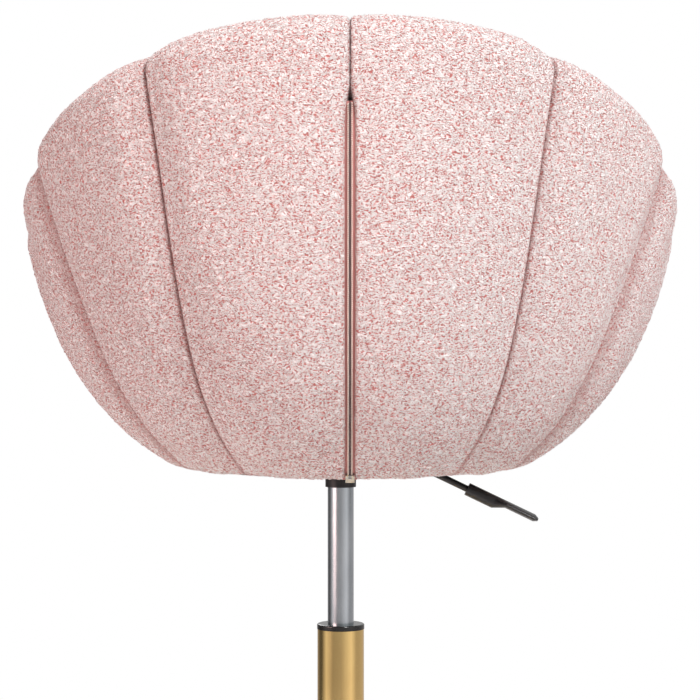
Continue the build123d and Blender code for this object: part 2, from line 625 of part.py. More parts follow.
PIN_BOTTOM, PIN_TOP = 455.0, LEVER_LEVEL - LEVER_ROD_RADIUS - 0.4
with BuildPart() as release_pin:
    add(turned((0, PIN_BOTTOM), (PIN_RADIUS, PIN_BOTTOM), (PIN_RADIUS, PIN_TOP), (0, PIN_TOP)))
    fillet(release_pin.edges().filter_by(GeomType.CIRCLE).sort_by(Axis.Z)[-1], 2)
release_pin.part.label = "release_pin"
export_step(release_pin.part, "parts/release_pin.step")

# ---- Star base: five pressed legs about a hub, each with a stem socket at its end
LEG_ROOT, LEG_END = 28.0, 268.0
LEG_ROOT_WIDTH, LEG_END_WIDTH = 50.0, 30.0
LEG_TOPS = (121.0, 107.0, 84.0)
LEG_FEET = (64.0, 70.0, 63.0)
LEG_HOLLOW, LEG_ROUND = 9.0, 9.0
LEG_MIDDLE = (LEG_ROOT + LEG_END) / 2
BOSS_RADIUS, BOSS_BOTTOM, BOSS_TOP = 17.0, 61.5, 89.0
STEM_TOP = 84.0


def leg_block(top, foot, wall=0.0):
    """A leg's solid, or the hollow under it, between arcs through heights at root, middle and end."""
    root, end = LEG_ROOT + 3 * wall, LEG_END - wall
    with BuildPart() as block:
        with BuildSketch(Plane.XZ):
            with BuildLine():
                ThreePointArc((root, top[0]), (LEG_MIDDLE, top[1]), (end, top[2]))
                Line((end, top[2]), (end, foot[2]))
                ThreePointArc((end, foot[2]), (LEG_MIDDLE, foot[1]), (root, foot[0]))
                Line((root, foot[0]), (root, top[0]))
            make_face()
        extrude(amount=LEG_ROOT_WIDTH, both=True)
        with BuildSketch(Plane.XY):
            half_root, half_end = LEG_ROOT_WIDTH / 2 - wall, LEG_END_WIDTH / 2 - wall
            Polygon((root, half_root), (root, -half_root), (end, -half_end), (end, half_end), align=None)
        extrude(amount=2 * LEG_TOPS[0], both=True, mode=Mode.INTERSECT)
        if wall == 0:
            back = block.faces().sort_by(Axis.Z)[-1]
            fillet(back.edges().sort_by(SortBy.LENGTH)[-2:], LEG_ROUND)
    return block.part


leg_solid = leg_block(LEG_TOPS, LEG_FEET)
hollow_top = [foot + LEG_HOLLOW for foot in LEG_FEET]
hollow_foot = [foot - LEG_ROOT for foot in LEG_FEET]
leg_hollow = leg_block(hollow_top, hollow_foot, LEG_WALL)
with BuildPart() as star_base:
    with PolarLocations(0, LEGS, start_angle=-90):
        add(leg_solid)
        add(leg_hollow, mode=Mode.SUBTRACT)
    with BuildSketch(Plane.XY.offset(HUB_BOTTOM)):
        Circle(HUB_RADIUS)
    extrude(amount=HUB_TOP - HUB_BOTTOM)
    fillet(star_base.faces().sort_by(Axis.Z)[-1].edges(), 4)
    with BuildSketch(Plane.XY.offset(BOSS_BOTTOM)):
        with PolarLocations(STEM_CIRCLE, LEGS, start_angle=-90):
            Circle(BOSS_RADIUS)
    extrude(amount=BOSS_TOP - BOSS_BOTTOM)
    fillet(star_base.edges().filter_by_position(Axis.Z, BOSS_TOP - 0.1, BOSS_TOP + 0.1), 2.5)
    with BuildSketch(Plane.XY.offset(BOSS_BOTTOM)):
        with PolarLocations(STEM_CIRCLE, LEGS, start_angle=-90):
            Circle(STEM_RADIUS + RUNNING_FIT)
    extrude(amount=STEM_TOP + CLEARANCE - BOSS_BOTTOM, mode=Mode.SUBTRACT)
    with BuildSketch(Plane.XZ):
        Polygon(
            (0, HUB_BOTTOM),
            (COLUMN_FOOT_RADIUS, HUB_BOTTOM),
            (COLUMN_FOOT_RADIUS, COLUMN_BOTTOM),
            (COLUMN_RADIUS, taper_top),
            (COLUMN_RADIUS, taper_top + 5),
            (0, taper_top + 5),
            align=None,
        )
    revolve(axis=Axis.Z, mode=Mode.SUBTRACT)
star_base.part.label = "star_base"
export_step(star_base.part, "parts/star_base.step")

# ---- Twin-wheel casters, trailing outward from their stems
COVER_INNER, COVER_OUTER = 26.5, 29.0
COVER_FRONT, COVER_REAR = 155.0, 12.0
COVER_WIDTH = 48.0
WEB_TOP = 60.0
STEM_BOTTOM = 36.0
WHEEL_FACE = CASTER_WEB / 2 + 0.4
AXLE_REACH = 22.0

for number in range(1, LEGS + 1):
    leg_angle = radians(-90 + 360 / LEGS * (number - 1))
    along = Vector(cos(leg_angle), sin(leg_angle), 0)
    stem_foot = along * STEM_CIRCLE
    side = Plane(stem_foot, x_dir=along, z_dir=along.cross(Vector(0, 0, 1)))
    axle_centre = stem_foot + along * CASTER_TRAIL + Vector(0, 0, WHEEL_RADIUS)

    with BuildPart() as stem:
        with BuildSketch(Plane(stem_foot + Vector(0, 0, STEM_BOTTOM))):
            Circle(STEM_RADIUS)
        extrude(amount=STEM_TOP - STEM_BOTTOM)
        chamfer(stem.faces().sort_by(Axis.Z)[-1].edges(), 1)
        with BuildSketch(Plane(stem_foot + Vector(0, 0, WEB_TOP))):
            Circle(STEM_RADIUS + 3)
        extrude(amount=BOSS_BOTTOM - WEB_TOP - CLEARANCE)
    stem.part.label = f"caster_{number}_stem"
    export_step(stem.part, f"parts/caster_{number}_stem.step")

    with BuildPart() as hood:
        with BuildSketch(side):
            with Locations((CASTER_TRAIL, WHEEL_RADIUS)):
                Circle(COVER_OUTER)
                rear = radians(COVER_REAR)
                front = radians(COVER_FRONT)
                reach = 2 * COVER_OUTER
                Polygon(
                    (0, 0),
                    (reach * cos(rear), reach * sin(rear)),
                    (reach, reach),
                    (-reach, reach),
                    (reach * cos(front), reach * sin(front)),
                    align=None,
                    mode=Mode.INTERSECT,
                )
        extrude(amount=COVER_WIDTH / 2, both=True)
        with BuildSketch(side):
            with Locations((CASTER_TRAIL, WHEEL_RADIUS)):
                Circle(COVER_INNER)
        for face in (CASTER_WEB / 2, -COVER_WIDTH / 2):
            with BuildSketch(side.offset(face)):
                with Locations((CASTER_TRAIL, WHEEL_RADIUS)):
                    Circle(COVER_INNER)
            extrude(amount=(COVER_WIDTH - CASTER_WEB) / 2, mode=Mode.SUBTRACT)
        with BuildSketch(side):
            with Locations((0, (WEB_TOP + STEM_BOTTOM - 6) / 2)):
                Rectangle(22, WEB_TOP - STEM_BOTTOM + 6)
            with Locations((CASTER_TRAIL, WHEEL_RADIUS)):
                Circle(AXLE_RADIUS + 5)
        extrude(amount=CASTER_WEB / 2, both=True)
        with BuildSketch(side):
            with Locations((CASTER_TRAIL, WHEEL_RADIUS)):
                Circle(AXLE_RADIUS)
        extrude(amount=CASTER_WEB, both=True, mode=Mode.SUBTRACT)
        with BuildSketch(Plane(stem_foot + Vector(0, 0, STEM_BOTTOM))):
            Circle(STEM_RADIUS)
        extrude(amount=WEB_TOP - STEM_BOTTOM, mode=Mode.SUBTRACT)
    hood.part.label = f"caster_{number}_hood"
    export_step(hood.part, f"parts/caster_{number}_hood.step")

    with BuildPart() as axle:
        with BuildSketch(side):
            with Locations((CASTER_TRAIL, WHEEL_RADIUS)):
                Circle(AXLE_RADIUS)
        extrude(amount=AXLE_REACH, both=True)
    axle.part.label = f"caster_{number}_axle"
    export_step(axle.part, f"parts/caster_{number}_axle.step")

    for hand, sideways in (("left", side.z_dir), ("right", side.z_dir * -1)):
        face = Plane(axle_centre, x_dir=sideways, z_dir=sideways.cross(Vector(0, 0, 1)))
        outer_face = WHEEL_FACE + WHEEL_WIDTH
        with BuildPart() as wheel:
            with BuildSketch(face):
                Polygon(
                    (WHEEL_FACE, AXLE_RADIUS + RUNNING_FIT),
                    (WHEEL_FACE, WHEEL_RADIUS - 1.5),
                    (WHEEL_FACE + 1.5, WHEEL_RADIUS),
                    (outer_face - 3, WHEEL_RADIUS),
                    (outer_face, WHEEL_RADIUS - 3),
                    (outer_face, 18.5),
                    (outer_face - 1.2, 17.5),
                    (outer_face - 1.2, 0),
                    (AXLE_REACH + CLEARANCE, 0),
                    (AXLE_REACH + CLEARANCE, AXLE_RADIUS + RUNNING_FIT),
                    align=None,
                )
            revolve(axis=Axis(axle_centre, sideways))
        wheel.part.label = f"caster_{number}_wheel_{hand}"
        export_step(wheel.part, f"parts/caster_{number}_wheel_{hand}.step")
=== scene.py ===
import itertools
import json
import math

import bpy
import numpy as np
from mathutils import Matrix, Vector


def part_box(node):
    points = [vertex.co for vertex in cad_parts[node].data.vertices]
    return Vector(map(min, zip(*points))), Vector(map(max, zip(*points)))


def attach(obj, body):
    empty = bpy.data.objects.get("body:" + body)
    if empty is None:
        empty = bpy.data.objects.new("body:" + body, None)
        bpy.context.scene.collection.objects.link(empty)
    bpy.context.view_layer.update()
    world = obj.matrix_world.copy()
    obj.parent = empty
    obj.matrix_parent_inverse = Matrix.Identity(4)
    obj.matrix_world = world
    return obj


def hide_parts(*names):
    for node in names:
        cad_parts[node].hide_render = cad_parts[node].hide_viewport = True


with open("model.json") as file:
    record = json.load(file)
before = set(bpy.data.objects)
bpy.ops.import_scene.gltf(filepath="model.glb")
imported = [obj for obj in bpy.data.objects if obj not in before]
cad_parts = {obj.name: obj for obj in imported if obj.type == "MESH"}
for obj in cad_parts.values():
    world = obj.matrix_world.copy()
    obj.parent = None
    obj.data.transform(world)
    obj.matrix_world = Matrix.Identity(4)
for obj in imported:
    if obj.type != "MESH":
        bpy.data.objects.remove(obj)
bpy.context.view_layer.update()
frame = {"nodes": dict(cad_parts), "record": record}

# Looks of the styling chair: a tub upholstered in curly pile, on a gas lift and a star base.
# Metres, in the CAD frame: +Z up, the zipped back faces +Y and the sitter faces -Y.

MM = 0.001

# ---- Sizes of the tub, as the CAD model has them
cover_low, cover_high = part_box("dust_cover")
SHELL_X = (cover_low.x + cover_high.x) / 2
SHELL_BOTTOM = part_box("front_pad")[0].z
CUSHION_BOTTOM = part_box("seat_cushion")[0].z
CUSHION_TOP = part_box("seat_cushion")[1].z
PROFILE_RADIUS = 366.7 * MM
PROFILE_CENTRE = 460 * MM
PROFILE_HALF_HEIGHT = 500 * MM
PROFILE_POWER = 2.6
SEAM_ANGLES = (0.0, 31.8, 62.4, 81.0, 105.0, 128.0)
SEAM_LEANS = (0.0, 0.0, 7.3, 3.0, 1.0, 0.0)
SEAM_BOWS = (0.0, 2.9, 10.9, 3.0, 1.5, 0.0)
SEAM_HEIGHT, BOW_LEVEL = 200 * MM, 0.35
REST_END_ANGLE = SEAM_ANGLES[-1]
RIM_MIDDLE, RIM_SWING, RIM_BOW = 347.3 * MM, 118.1 * MM, 15 * MM
RIM_LOW_ANGLE = 117.6
RIM_EASE, RIM_EASE_ANGLE, RIM_EASE_SPREAD = 7 * MM, 48.0, 16.0
WALL = 72 * MM
MOUTH_RADIUS = 165 * MM
SEAT_LEVEL = 60.5 * MM
BOWL_TOP = 60 * MM
MOULD_INSET, MOULD_THICK, MOULD_FLOOR = 22 * MM, 6 * MM, 39.2 * MM
MOULD_BACK_Y, MOULD_BACK_HEIGHT, MOULD_SLOPE = 345 * MM, 371 * MM, 0.45
MOULD_END_ANGLE = 124.0
SKIN_GAP = 0.3 * MM
ZIP_CENTRE_Y, ZIP_CENTRE_Z, ZIP_RADIUS = -76.487 * MM, 790.438 * MM, 430.632 * MM
ZIP_START, ZIP_END = math.radians(-51.0), math.radians(4.0)
ZIP_HEAD_HEIGHT = 367 * MM
TAPE_TOP = 0.4 * MM

# ---- How the cloth lies over the foam
CROWN = 32 * MM
SKIN_DRAW = 3 * MM
SEAM_DEPTH, SEAM_REACH = 9 * MM, 7.5 * MM
PUFF_DEPTHS = (5 * MM, 6.5 * MM, 10 * MM, 10 * MM, 8 * MM, 5 * MM)
PUFF_REACH = 58 * MM
RIM_SEAM = 0.5
ARM_ROUND, ARM_DEPTH = 35 * MM, 33 * MM
ARM_FOOT_BLEND = 45 * MM
SLOT_HALF = 5.2 * MM
SLOT_CLOSING = 24 * MM
ZIP_COVER, FOLD_REACH = 4 * MM, 4.5 * MM
# Painted shade at the seams: how far it reaches, a softer and wider painted shade beyond each channel's
# first seam, and how strongly it darkens the colour at plain seams, beside the zipper and at the arm ends.
SHADE_REACH, SOFT_SHADE_REACH = 5 * MM, 30 * MM
SOFT_SHADES = (0.0, 0.12, 0.5, 0.3, 0.2)
SHADE_SHARE, ZIP_SHADE_SHARE, ARM_SHADE_SHARE = 0.7, 0.25, 0.15
FOAM_LEFT = 4.5 * MM
FOOT_DEPTH, FOOT_SLOPE = 1.5 * MM, 0.35
CURL_SIZE = 5 * MM
CURL_HEIGHT = 1.7 * MM
LUMP_SIZE, LUMP_HEIGHT = 34 * MM, 0.8 * MM
FINE, COARSE, EDGE_STEP = 2.6 * MM, 4 * MM, 1.4 * MM


# ================================================================ repeatable noise
def cell_random(cells, salt):
    """A repeatable random number from 0 to 1 for each whole-number cell."""
    n = cells.astype(np.int64).astype(np.uint64)
    mixed = n[..., 0] * np.uint64(73856093) ^ n[..., 1] * np.uint64(19349663)
    mixed ^= n[..., 2] * np.uint64(83492791) ^ np.uint64(salt * 2654435761)
    mixed = (mixed ^ (mixed >> np.uint64(30))) * np.uint64(0xBF58476D1CE4E5B9)
    mixed = (mixed ^ (mixed >> np.uint64(27))) * np.uint64(0x94D049BB133111EB)
    mixed ^= mixed >> np.uint64(31)
    return (mixed >> np.uint64(40)).astype(float) / float(1 << 24)


def smooth(t):
    """Smoothstep of t held between 0 and 1."""
    t = np.clip(t, 0, 1)
    return t * t * (3 - 2 * t)


def waves(points, size, salt):
    """Soft lumps from -1 to 1, about size apart."""
    grid = points / size
    base = np.floor(grid)
    part = smooth(grid - base)
    total = np.zeros(len(points))
    for corner in itertools.product((0, 1), repeat=3):
        weight = np.prod(np.where(np.array(corner) == 1, part, 1 - part), axis=1)
        total += weight * cell_random(base + corner, salt)
    return 2 * total - 1


def curls(points, size, salt):
    """Height from 0 to 1 of a pile of small round curls."""
    grid = points / size
    base = np.floor(grid)
    nearest = np.full(len(points), 9.0)
    second = np.full(len(points), 9.0)
    tall = np.zeros(len(points))
    for step in itertools.product((-1, 0, 1), repeat=3):
        cell = base + step
        jitter = np.stack([cell_random(cell, salt + axis) for axis in range(3)], axis=1)
        distance = np.linalg.norm(grid - cell - jitter, axis=1)
        closer = distance < nearest
        second = np.where(closer, nearest, np.minimum(second, distance))
        tall = np.where(closer, cell_random(cell, salt + 3), tall)
        nearest = np.minimum(nearest, distance)
    return smooth((second - nearest) / 0.55) * (0.45 + 0.55 * tall)


def pile(points):
    """Height of the curly pile, from 0 in a crevice to 1 on a curl; curls lie wider than tall."""
    bent = points + 1.6 * MM * np.stack([waves(points, 9 * MM, salt) for salt in (21, 22, 23)], axis=1)
    bent = bent * np.array([1, 1, 1.35])
    return 0.72 * curls(bent, CURL_SIZE, 1) + 0.28 * curls(bent, CURL_SIZE * 0.55, 11)


# ================================================================ meshes
def add_mesh(name, vertices, faces, material):
    """A new object from numpy vertices and a list of faces."""
    mesh = bpy.data.meshes.new(name)
    mesh.from_pydata([tuple(v) for v in vertices], [], faces)
    mesh.validate()
    mesh.materials.append(material)
    mesh.shade_smooth()
    piece = bpy.data.objects.new(name, mesh)
    bpy.context.scene.collection.objects.link(piece)
    return piece


def store(piece, name, values):
    """Keeps one number for each vertex, for the material to read."""
    layer = piece.data.attributes.new(name, "FLOAT", "POINT")
    layer.data.foreach_set("value", np.asarray(values, np.float32))


def tube_faces(columns, rows):
    """Faces of a grid of columns by rows whose rows close into a loop."""
    column, row = np.meshgrid(np.arange(columns - 1), np.arange(rows), indexing="ij")
    after = (row + 1) % rows
    start, end = column * rows, (column + 1) * rows
    quads = np.stack([start + row, end + row, end + after, start + after], axis=-1)
    return quads.reshape(-1, 4).tolist()


def closed_tube(points):
    """Faces of a closed solid from points[column, row]: a tube with both ends capped."""
    columns, rows = points.shape[:2]
    faces = tube_faces(columns, rows)
    faces.append(list(range(rows)))
    faces.append([(columns - 1) * rows + row for row in reversed(range(rows))])
    return faces


# ================================================================ the tub's section
def outer_radius(height):
    drop = (PROFILE_CENTRE - height) / PROFILE_HALF_HEIGHT
    return PROFILE_RADIUS * (1 - np.abs(drop) ** PROFILE_POWER) ** (1 / PROFILE_POWER)


def rim_height(angle):
    """Height of the scalloped rim above the tub's underside, by angle from the back."""
    turn = math.radians(180 * min(angle / RIM_LOW_ANGLE, 1))
    ease = RIM_EASE * math.exp(-(((angle - RIM_EASE_ANGLE) / RIM_EASE_SPREAD) ** 2))
    return RIM_MIDDLE + RIM_SWING * math.cos(turn) - RIM_BOW * math.cos(2 * turn) - ease


def seam_angle(number, height):
    """Angle in radians of a seam, counted round from the back, which leans and bows as it rises."""
    rise = (height - SEAM_HEIGHT) / SEAM_HEIGHT
    bow = SEAM_BOWS[number] * (rise**2 - BOW_LEVEL)
    return np.radians(SEAM_ANGLES[number] + SEAM_LEANS[number] * rise + bow)


def rim_seam(number):
    """Angle in radians where a seam reaches the rim."""
    angle = SEAM_ANGLES[number]
    for _ in range(8):
        angle = math.degrees(seam_angle(number, rim_height(angle)))
    return math.radians(angle)


def mould_height(angle):
    """Height of the moulded shell's edge above the tub's underside."""
    if abs(angle) > MOULD_END_ANGLE:
        return BOWL_TOP
    y = (outer_radius(0.3) - MOULD_INSET) * math.cos(math.radians(angle))
    return MOULD_BACK_HEIGHT + MOULD_SLOPE * (y - MOULD_BACK_Y)


def drawn_in(angle):
    """How far the cloth lies inside the foam's widest face: not at all beside the zipper."""
    return SKIN_DRAW * smooth((abs(angle) - 12) / 30)


heights = np.linspace(0, 0.46, 2000)
lengths = np.concatenate([[0], np.cumsum(np.hypot(np.diff(outer_radius(heights)), np.diff(heights)))])


def evenly(low, high, count):
    """Heights that are evenly spaced along the outer wall."""
    return np.interp(np.linspace(*np.interp((low, high), heights, lengths), count), lengths, heights)


def joined(*runs):
    """Runs of (radius, height) points as one array."""
    return np.concatenate([np.column_stack(run) for run in runs])


def straight(a, b, count):
    """count points from a towards b, without b."""
    t = np.arange(count)[:, None] / count
    run = np.array(a) * (1 - t) + np.array(b) * t
    return run[:, 0], run[:, 1]


CORNER_TOP = 9 * MM
CORNER_START = 178 * MM
UNDERSIDE_ROWS, CORNER_ROWS, SLOT_ROWS = 6, 10, 12
OUTER_GAP = MOULD_INSET - SKIN_GAP
INNER_GAP = MOULD_INSET + MOULD_THICK + SKIN_GAP
LIP_LEVEL = MOULD_FLOOR - SKIN_GAP


def underside(draw):
    """From the mouth, under the foot and round its corner to the outer wall."""
    t = np.arange(CORNER_ROWS) / CORNER_ROWS
    corner, wall = outer_radius(0) - draw, outer_radius(CORNER_TOP) - draw
    bend = (1 - t) ** 2 * CORNER_START + 2 * t * (1 - t) * corner + t**2 * wall
    return [straight((MOUTH_RADIUS, 0), (CORNER_START, 0), UNDERSIDE_ROWS), (bend, t**2 * CORNER_TOP)]


def lip():
    """From the wall's inner foot, along the seat's underside, to the mouth."""
    foot = (outer_radius(LIP_LEVEL) - OUTER_GAP, LIP_LEVEL)
    return [
        straight(foot, (MOUTH_RADIUS, LIP_LEVEL), 6),
        straight((MOUTH_RADIUS, LIP_LEVEL), (MOUTH_RADIUS, 0), 4),
    ]


def masked(runs, shown, softened):
    """A section's points, which of them show, and how deep a seam is on each."""
    points = joined(*runs)
    mask = np.zeros(len(points))
    mask[:shown] = 1
    depth = np.ones(len(points))
    depth[: len(softened)] = softened
    return points, mask, depth


def channel_section(angle, counts):
    """The closed section of a channel at an angle."""
    outer_rows, rim_rows, inner_rows = counts
    draw = drawn_in(angle)
    top = rim_height(angle) - CROWN
    up = evenly(CORNER_TOP, top, outer_rows)
    turn = np.linspace(0, math.pi, rim_rows + 2)[1:-1]
    lean = (outer_radius(top) - outer_radius(top - MM)) / MM
    crown = CROWN * np.sin(turn)
    half = np.where(turn < math.pi / 2, CROWN, WALL - draw - CROWN)
    over = outer_radius(top) - draw - CROWN + half * np.cos(turn) + lean * crown
    down = evenly(SEAT_LEVEL, top, inner_rows)[::-1]
    slot_top = max(mould_height(angle), SEAT_LEVEL) + SKIN_GAP
    slot_up = np.linspace(SEAT_LEVEL, slot_top, SLOT_ROWS)
    slot_down = np.linspace(slot_top, LIP_LEVEL, SLOT_ROWS)[:-1]
    seat = straight(
        (outer_radius(SEAT_LEVEL) - WALL, SEAT_LEVEL), (outer_radius(SEAT_LEVEL) - INNER_GAP, SEAT_LEVEL), 5
    )
    runs = [
        *underside(draw),
        (outer_radius(up) - draw, up),
        (over, top + crown),
        (outer_radius(down) - WALL, down),
        (seat[0][1:], seat[1][1:]),
        (outer_radius(slot_up) - INNER_GAP, slot_up),
        (outer_radius(slot_down) - OUTER_GAP, slot_down),
        *lip(),
    ]
    wall_rows = UNDERSIDE_ROWS + CORNER_ROWS + outer_rows
    softened = np.concatenate([np.ones(wall_rows), 1 - (1 - RIM_SEAM) * np.sin(turn)])
    return masked(runs, wall_rows + rim_rows + inner_rows, softened)


PAD_ROUND = 13 * MM
PAD_ROUND_ROWS, PAD_TOP_ROWS = 8, 5


def front_section(outer_rows):
    """The closed section of the band under the seat's front edge."""
    low = BOWL_TOP - PAD_ROUND
    up = evenly(CORNER_TOP, low, outer_rows)
    turn = np.linspace(0, math.pi / 2, PAD_ROUND_ROWS + 1)[1:]
    shoulder = outer_radius(low) - SKIN_DRAW - PAD_ROUND
    inner = (outer_radius(BOWL_TOP) - OUTER_GAP, BOWL_TOP)
    top = straight((shoulder, BOWL_TOP), inner, PAD_TOP_ROWS)
    slot_down = np.linspace(BOWL_TOP, LIP_LEVEL, SLOT_ROWS)[:-1]
    runs = [
        *underside(SKIN_DRAW),
        (outer_radius(up) - SKIN_DRAW, up),
        (shoulder + PAD_ROUND * np.cos(turn), low + PAD_ROUND * np.sin(turn)),
        (top[0][1:], top[1][1:]),
        (outer_radius(slot_down) - OUTER_GAP, slot_down),
        *lip(),
    ]
    shown = UNDERSIDE_ROWS + CORNER_ROWS + outer_rows + PAD_ROUND_ROWS
    return masked(runs, shown, np.ones(shown))


def normals(sections):
    """Outward normals of closed sections[column, row]."""
    along = np.roll(sections, -1, axis=1) - np.roll(sections, 1, axis=1)
    outward = np.stack([along[..., 1], -along[..., 0]], axis=-1)
    return outward / np.maximum(np.linalg.norm(outward, axis=-1, keepdims=True), 1e-9)


def rounded(distance, depth, reach):
    """Depth of a rounded shoulder that starts at reach and is depth deep where distance is 0."""
    t = np.clip(1 - distance / reach, 0, 1)
    return depth * (1 - np.sqrt(1 - t**2))


def crease(distance, number):
    """How far the cloth is drawn in, by its distance from a seam."""
    valley = PUFF_DEPTHS[number] * (1 - smooth(distance / PUFF_REACH)) ** 2
    return rounded(distance, SEAM_DEPTH, SEAM_REACH) + valley


def foot_depth(height):
    """How far the cloth can sink at a height above the tub's foot."""
    return FOOT_DEPTH + FOOT_SLOPE * np.clip(height, 0, None)


def foam_depth(height, normal, draw):
    """How far the cloth can sink into the outer wall before it meets the moulded shell."""
    over_mould = (OUTER_GAP - draw) * np.clip(normal[..., 0], 0, 1) - FOAM_LEFT
    return np.clip(np.minimum(over_mould, foot_depth(height)), FOOT_DEPTH, None)


def held_above(inset, limit):
    """An inset that eases off as it comes near its limit."""
    return limit * np.tanh(inset / limit)


def place(angle, section):
    """Points in the chair's frame from angles in radians and (radius, height) sections."""
    radius, height = section[..., 0], section[..., 1]
    return np.stack(
        [SHELL_X - radius * np.sin(angle), radius * np.cos(angle), SHELL_BOTTOM + height], axis=-1
    )


def clothe(angle, section, normal, strength, seam_distance):
    """Adds the curly pile and soft lumps, flattened at seams; returns the points and the pile's height."""
    spots = place(angle, section).reshape(-1, 3)
    open_pile = 0.25 + 0.75 * smooth(seam_distance / SEAM_REACH)
    strength = strength * open_pile
    fluff = pile(spots).reshape(angle.shape)
    lumps = waves(spots, LUMP_SIZE, 31).reshape(angle.shape)
    rise = strength * (CURL_HEIGHT * (fluff - 0.75) + LUMP_HEIGHT * lumps)
    return place(angle, section + normal * rise[..., None]), fluff


def spread(width, round_end=False):
    """Shares of a width where the columns stand: close together at its two ends."""
    edge = 16 * MM
    low = np.arange(0, edge, EDGE_STEP)
    high = low
    if round_end:
        turn = np.linspace(0, math.pi / 2, 20)
        high = ARM_ROUND * (1 - np.cos(turn))
    middle = np.linspace(edge, width - high[-1] - FINE, int((width - edge - high[-1]) / FINE))
    return np.concatenate([low, middle, (width - high)[::-1]]) / width


def seam_shade(from_start, from_end, start_share, end_share, soft_share):
    """How much painted shade each point gets from the seams, from 0 to 1: sharp at both, with a softer,
    wider painted shade beyond the first.
    """
    start = start_share * (1 - smooth(from_start / SHADE_REACH))
    end = end_share * (1 - smooth(from_end / SHADE_REACH))
    soft = soft_share * (1 - smooth(from_start / SOFT_SHADE_REACH))
    return np.maximum(np.maximum(start, end), soft)


def upholster(name, node, points, fluff, seam, cloth, flip):
    """One upholstered piece from its columns of points, standing for a CAD node."""
    faces = closed_tube(points)
    if flip:
        faces = [face[::-1] for face in faces]
    piece = add_mesh(name, points.reshape(-1, 3), faces, cloth)
    # The pile's height and the painted seam shade are kept for the material's colour.
    store(piece, "fluff", fluff.ravel())
    store(piece, "seam", seam.ravel())
    return declare_pad(piece, node)


def declare_pad(piece, node):
    """Attaches a piece to the seat and hides the CAD node that it stands for."""
    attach(piece, "seat")
    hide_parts(node)
    return piece


def zip_inset(distance, radius, height):
    """How far the cloth is drawn in beside the zipper: it folds down to the tape, never under it."""
    reach = np.hypot(radius - ZIP_CENTRE_Y, height + SHELL_BOTTOM - ZIP_CENTRE_Z)
    above_tape = reach - ZIP_RADIUS - TAPE_TOP
    puff = np.clip(above_tape - ZIP_COVER, 0, PUFF_DEPTHS[0])
    fold = np.clip(above_tape - puff - SKIN_GAP, 0.8 * MM, 20 * MM)
    return rounded(distance, fold, FOLD_REACH) + puff * (1 - smooth(distance / PUFF_REACH)) ** 2


def make_channel(hand, number, cloth):
    """One puffy channel of the back or an arm, counted from the back seam."""
    side = 1 if hand == "right" else -1
    first, last = rim_seam(number - 1), rim_seam(number)
    is_arm_end = number == len(SEAM_ANGLES) - 1
    share = spread((last - first) * PROFILE_RADIUS, is_arm_end)
    wall = np.interp(rim_height(SEAM_ANGLES[number - 1]), heights, lengths)
    counts = (int(wall / FINE), int(math.pi * CROWN / FINE), int(wall / COARSE))
    parts = [channel_section(math.degrees(first + (last - first) * s), counts) for s in share]
    section, mask, depth = (np.stack(values) for values in zip(*parts))
    normal = normals(section)
    radius, height = section[..., 0], section[..., 1]
    outside = np.zeros(section.shape[1])
    outside[: UNDERSIDE_ROWS + CORNER_ROWS + counts[0]] = 1

    opening = np.zeros(radius.shape)
    if number == 1:
        closing = (ZIP_HEAD_HEIGHT + SLOT_CLOSING / 2 - height) / SLOT_CLOSING
        opening = SLOT_HALF * outside * np.clip(closing, 0, 1) ** 0.7
    low, high = seam_angle(number - 1, height), seam_angle(number, height)
    low = low + opening / radius
    angle = low + (high - low) * share[:, None]
    from_start, from_end = (angle - low) * radius, (high - angle) * radius
    inset = depth * crease(from_start, number - 1)
    if number == 1:
        beside_zip = outside * (height < ZIP_HEAD_HEIGHT)
        inset = np.where(beside_zip > 0, zip_inset(from_start, radius, height), inset)
    seam = depth * crease(from_end, number)
    if is_arm_end:
        above_seat = smooth((height - SEAT_LEVEL) / ARM_FOOT_BLEND)
        across_wall = np.abs(normal[..., 0])
        wall_rows = UNDERSIDE_ROWS + CORNER_ROWS + counts[0]
        across_wall[:, wall_rows : wall_rows + counts[1]] = 1
        round_end = rounded(from_end, ARM_DEPTH * across_wall, ARM_ROUND)
        seam = above_seat * round_end + (1 - above_seat) * seam
    draw = np.array([drawn_in(math.degrees(first + (last - first) * s)) for s in share])[:, None]
    sunk = inset + seam
    on_wall = (outside > 0) & (height > CORNER_TOP)
    if not is_arm_end:
        sunk = np.where(on_wall, held_above(sunk, foam_depth(height, normal, draw)), sunk)
    sunk = np.where(height <= CORNER_TOP, held_above(sunk, foot_depth(height)), sunk)
    section = section - normal * (sunk * mask)[..., None]
    points, fluff = clothe(side * angle, section, normal, mask, np.minimum(from_start, from_end))
    # Painted shade for the seams: strongest at plain seams, weaker beside the zipper and at the arm's
    # rounded end.
    at_start = ZIP_SHADE_SHARE if number == 1 else SHADE_SHARE
    at_end = ARM_SHADE_SHARE if is_arm_end else SHADE_SHARE
    shade = seam_shade(from_start, from_end, at_start, at_end, SOFT_SHADES[number - 1])
    name, node = f"{hand}_channel_{number}", f"channel_{hand}_{number}"
    upholster(name, node, points, fluff, shade, cloth, side < 0)


def make_front_pad(cloth):
    """The band of padding under the seat's front edge."""
    first = math.radians(REST_END_ANGLE)
    arc = 2 * math.pi - 2 * first
    share = spread(arc * outer_radius(BOWL_TOP))
    rows = int(BOWL_TOP / FINE)
    parts = [front_section(rows) for _ in share]
    section, mask, _ = (np.stack(values) for values in zip(*parts))
    normal = normals(section)
    angle = first + arc * share[:, None] + np.zeros(section.shape[:2])
    ends = np.minimum(angle - first, first + arc - angle) * section[..., 0]
    section = section - normal * (crease(ends, len(SEAM_ANGLES) - 1) * mask)[..., None]
    points, fluff = clothe(angle, section, normal, mask, ends)
    # Painted shade at both ends of the band.
    shade = seam_shade(ends, ends, 0.6, 0.6, 0.2)
    upholster("front_padding", "front_pad", points, fluff, shade, cloth, False)


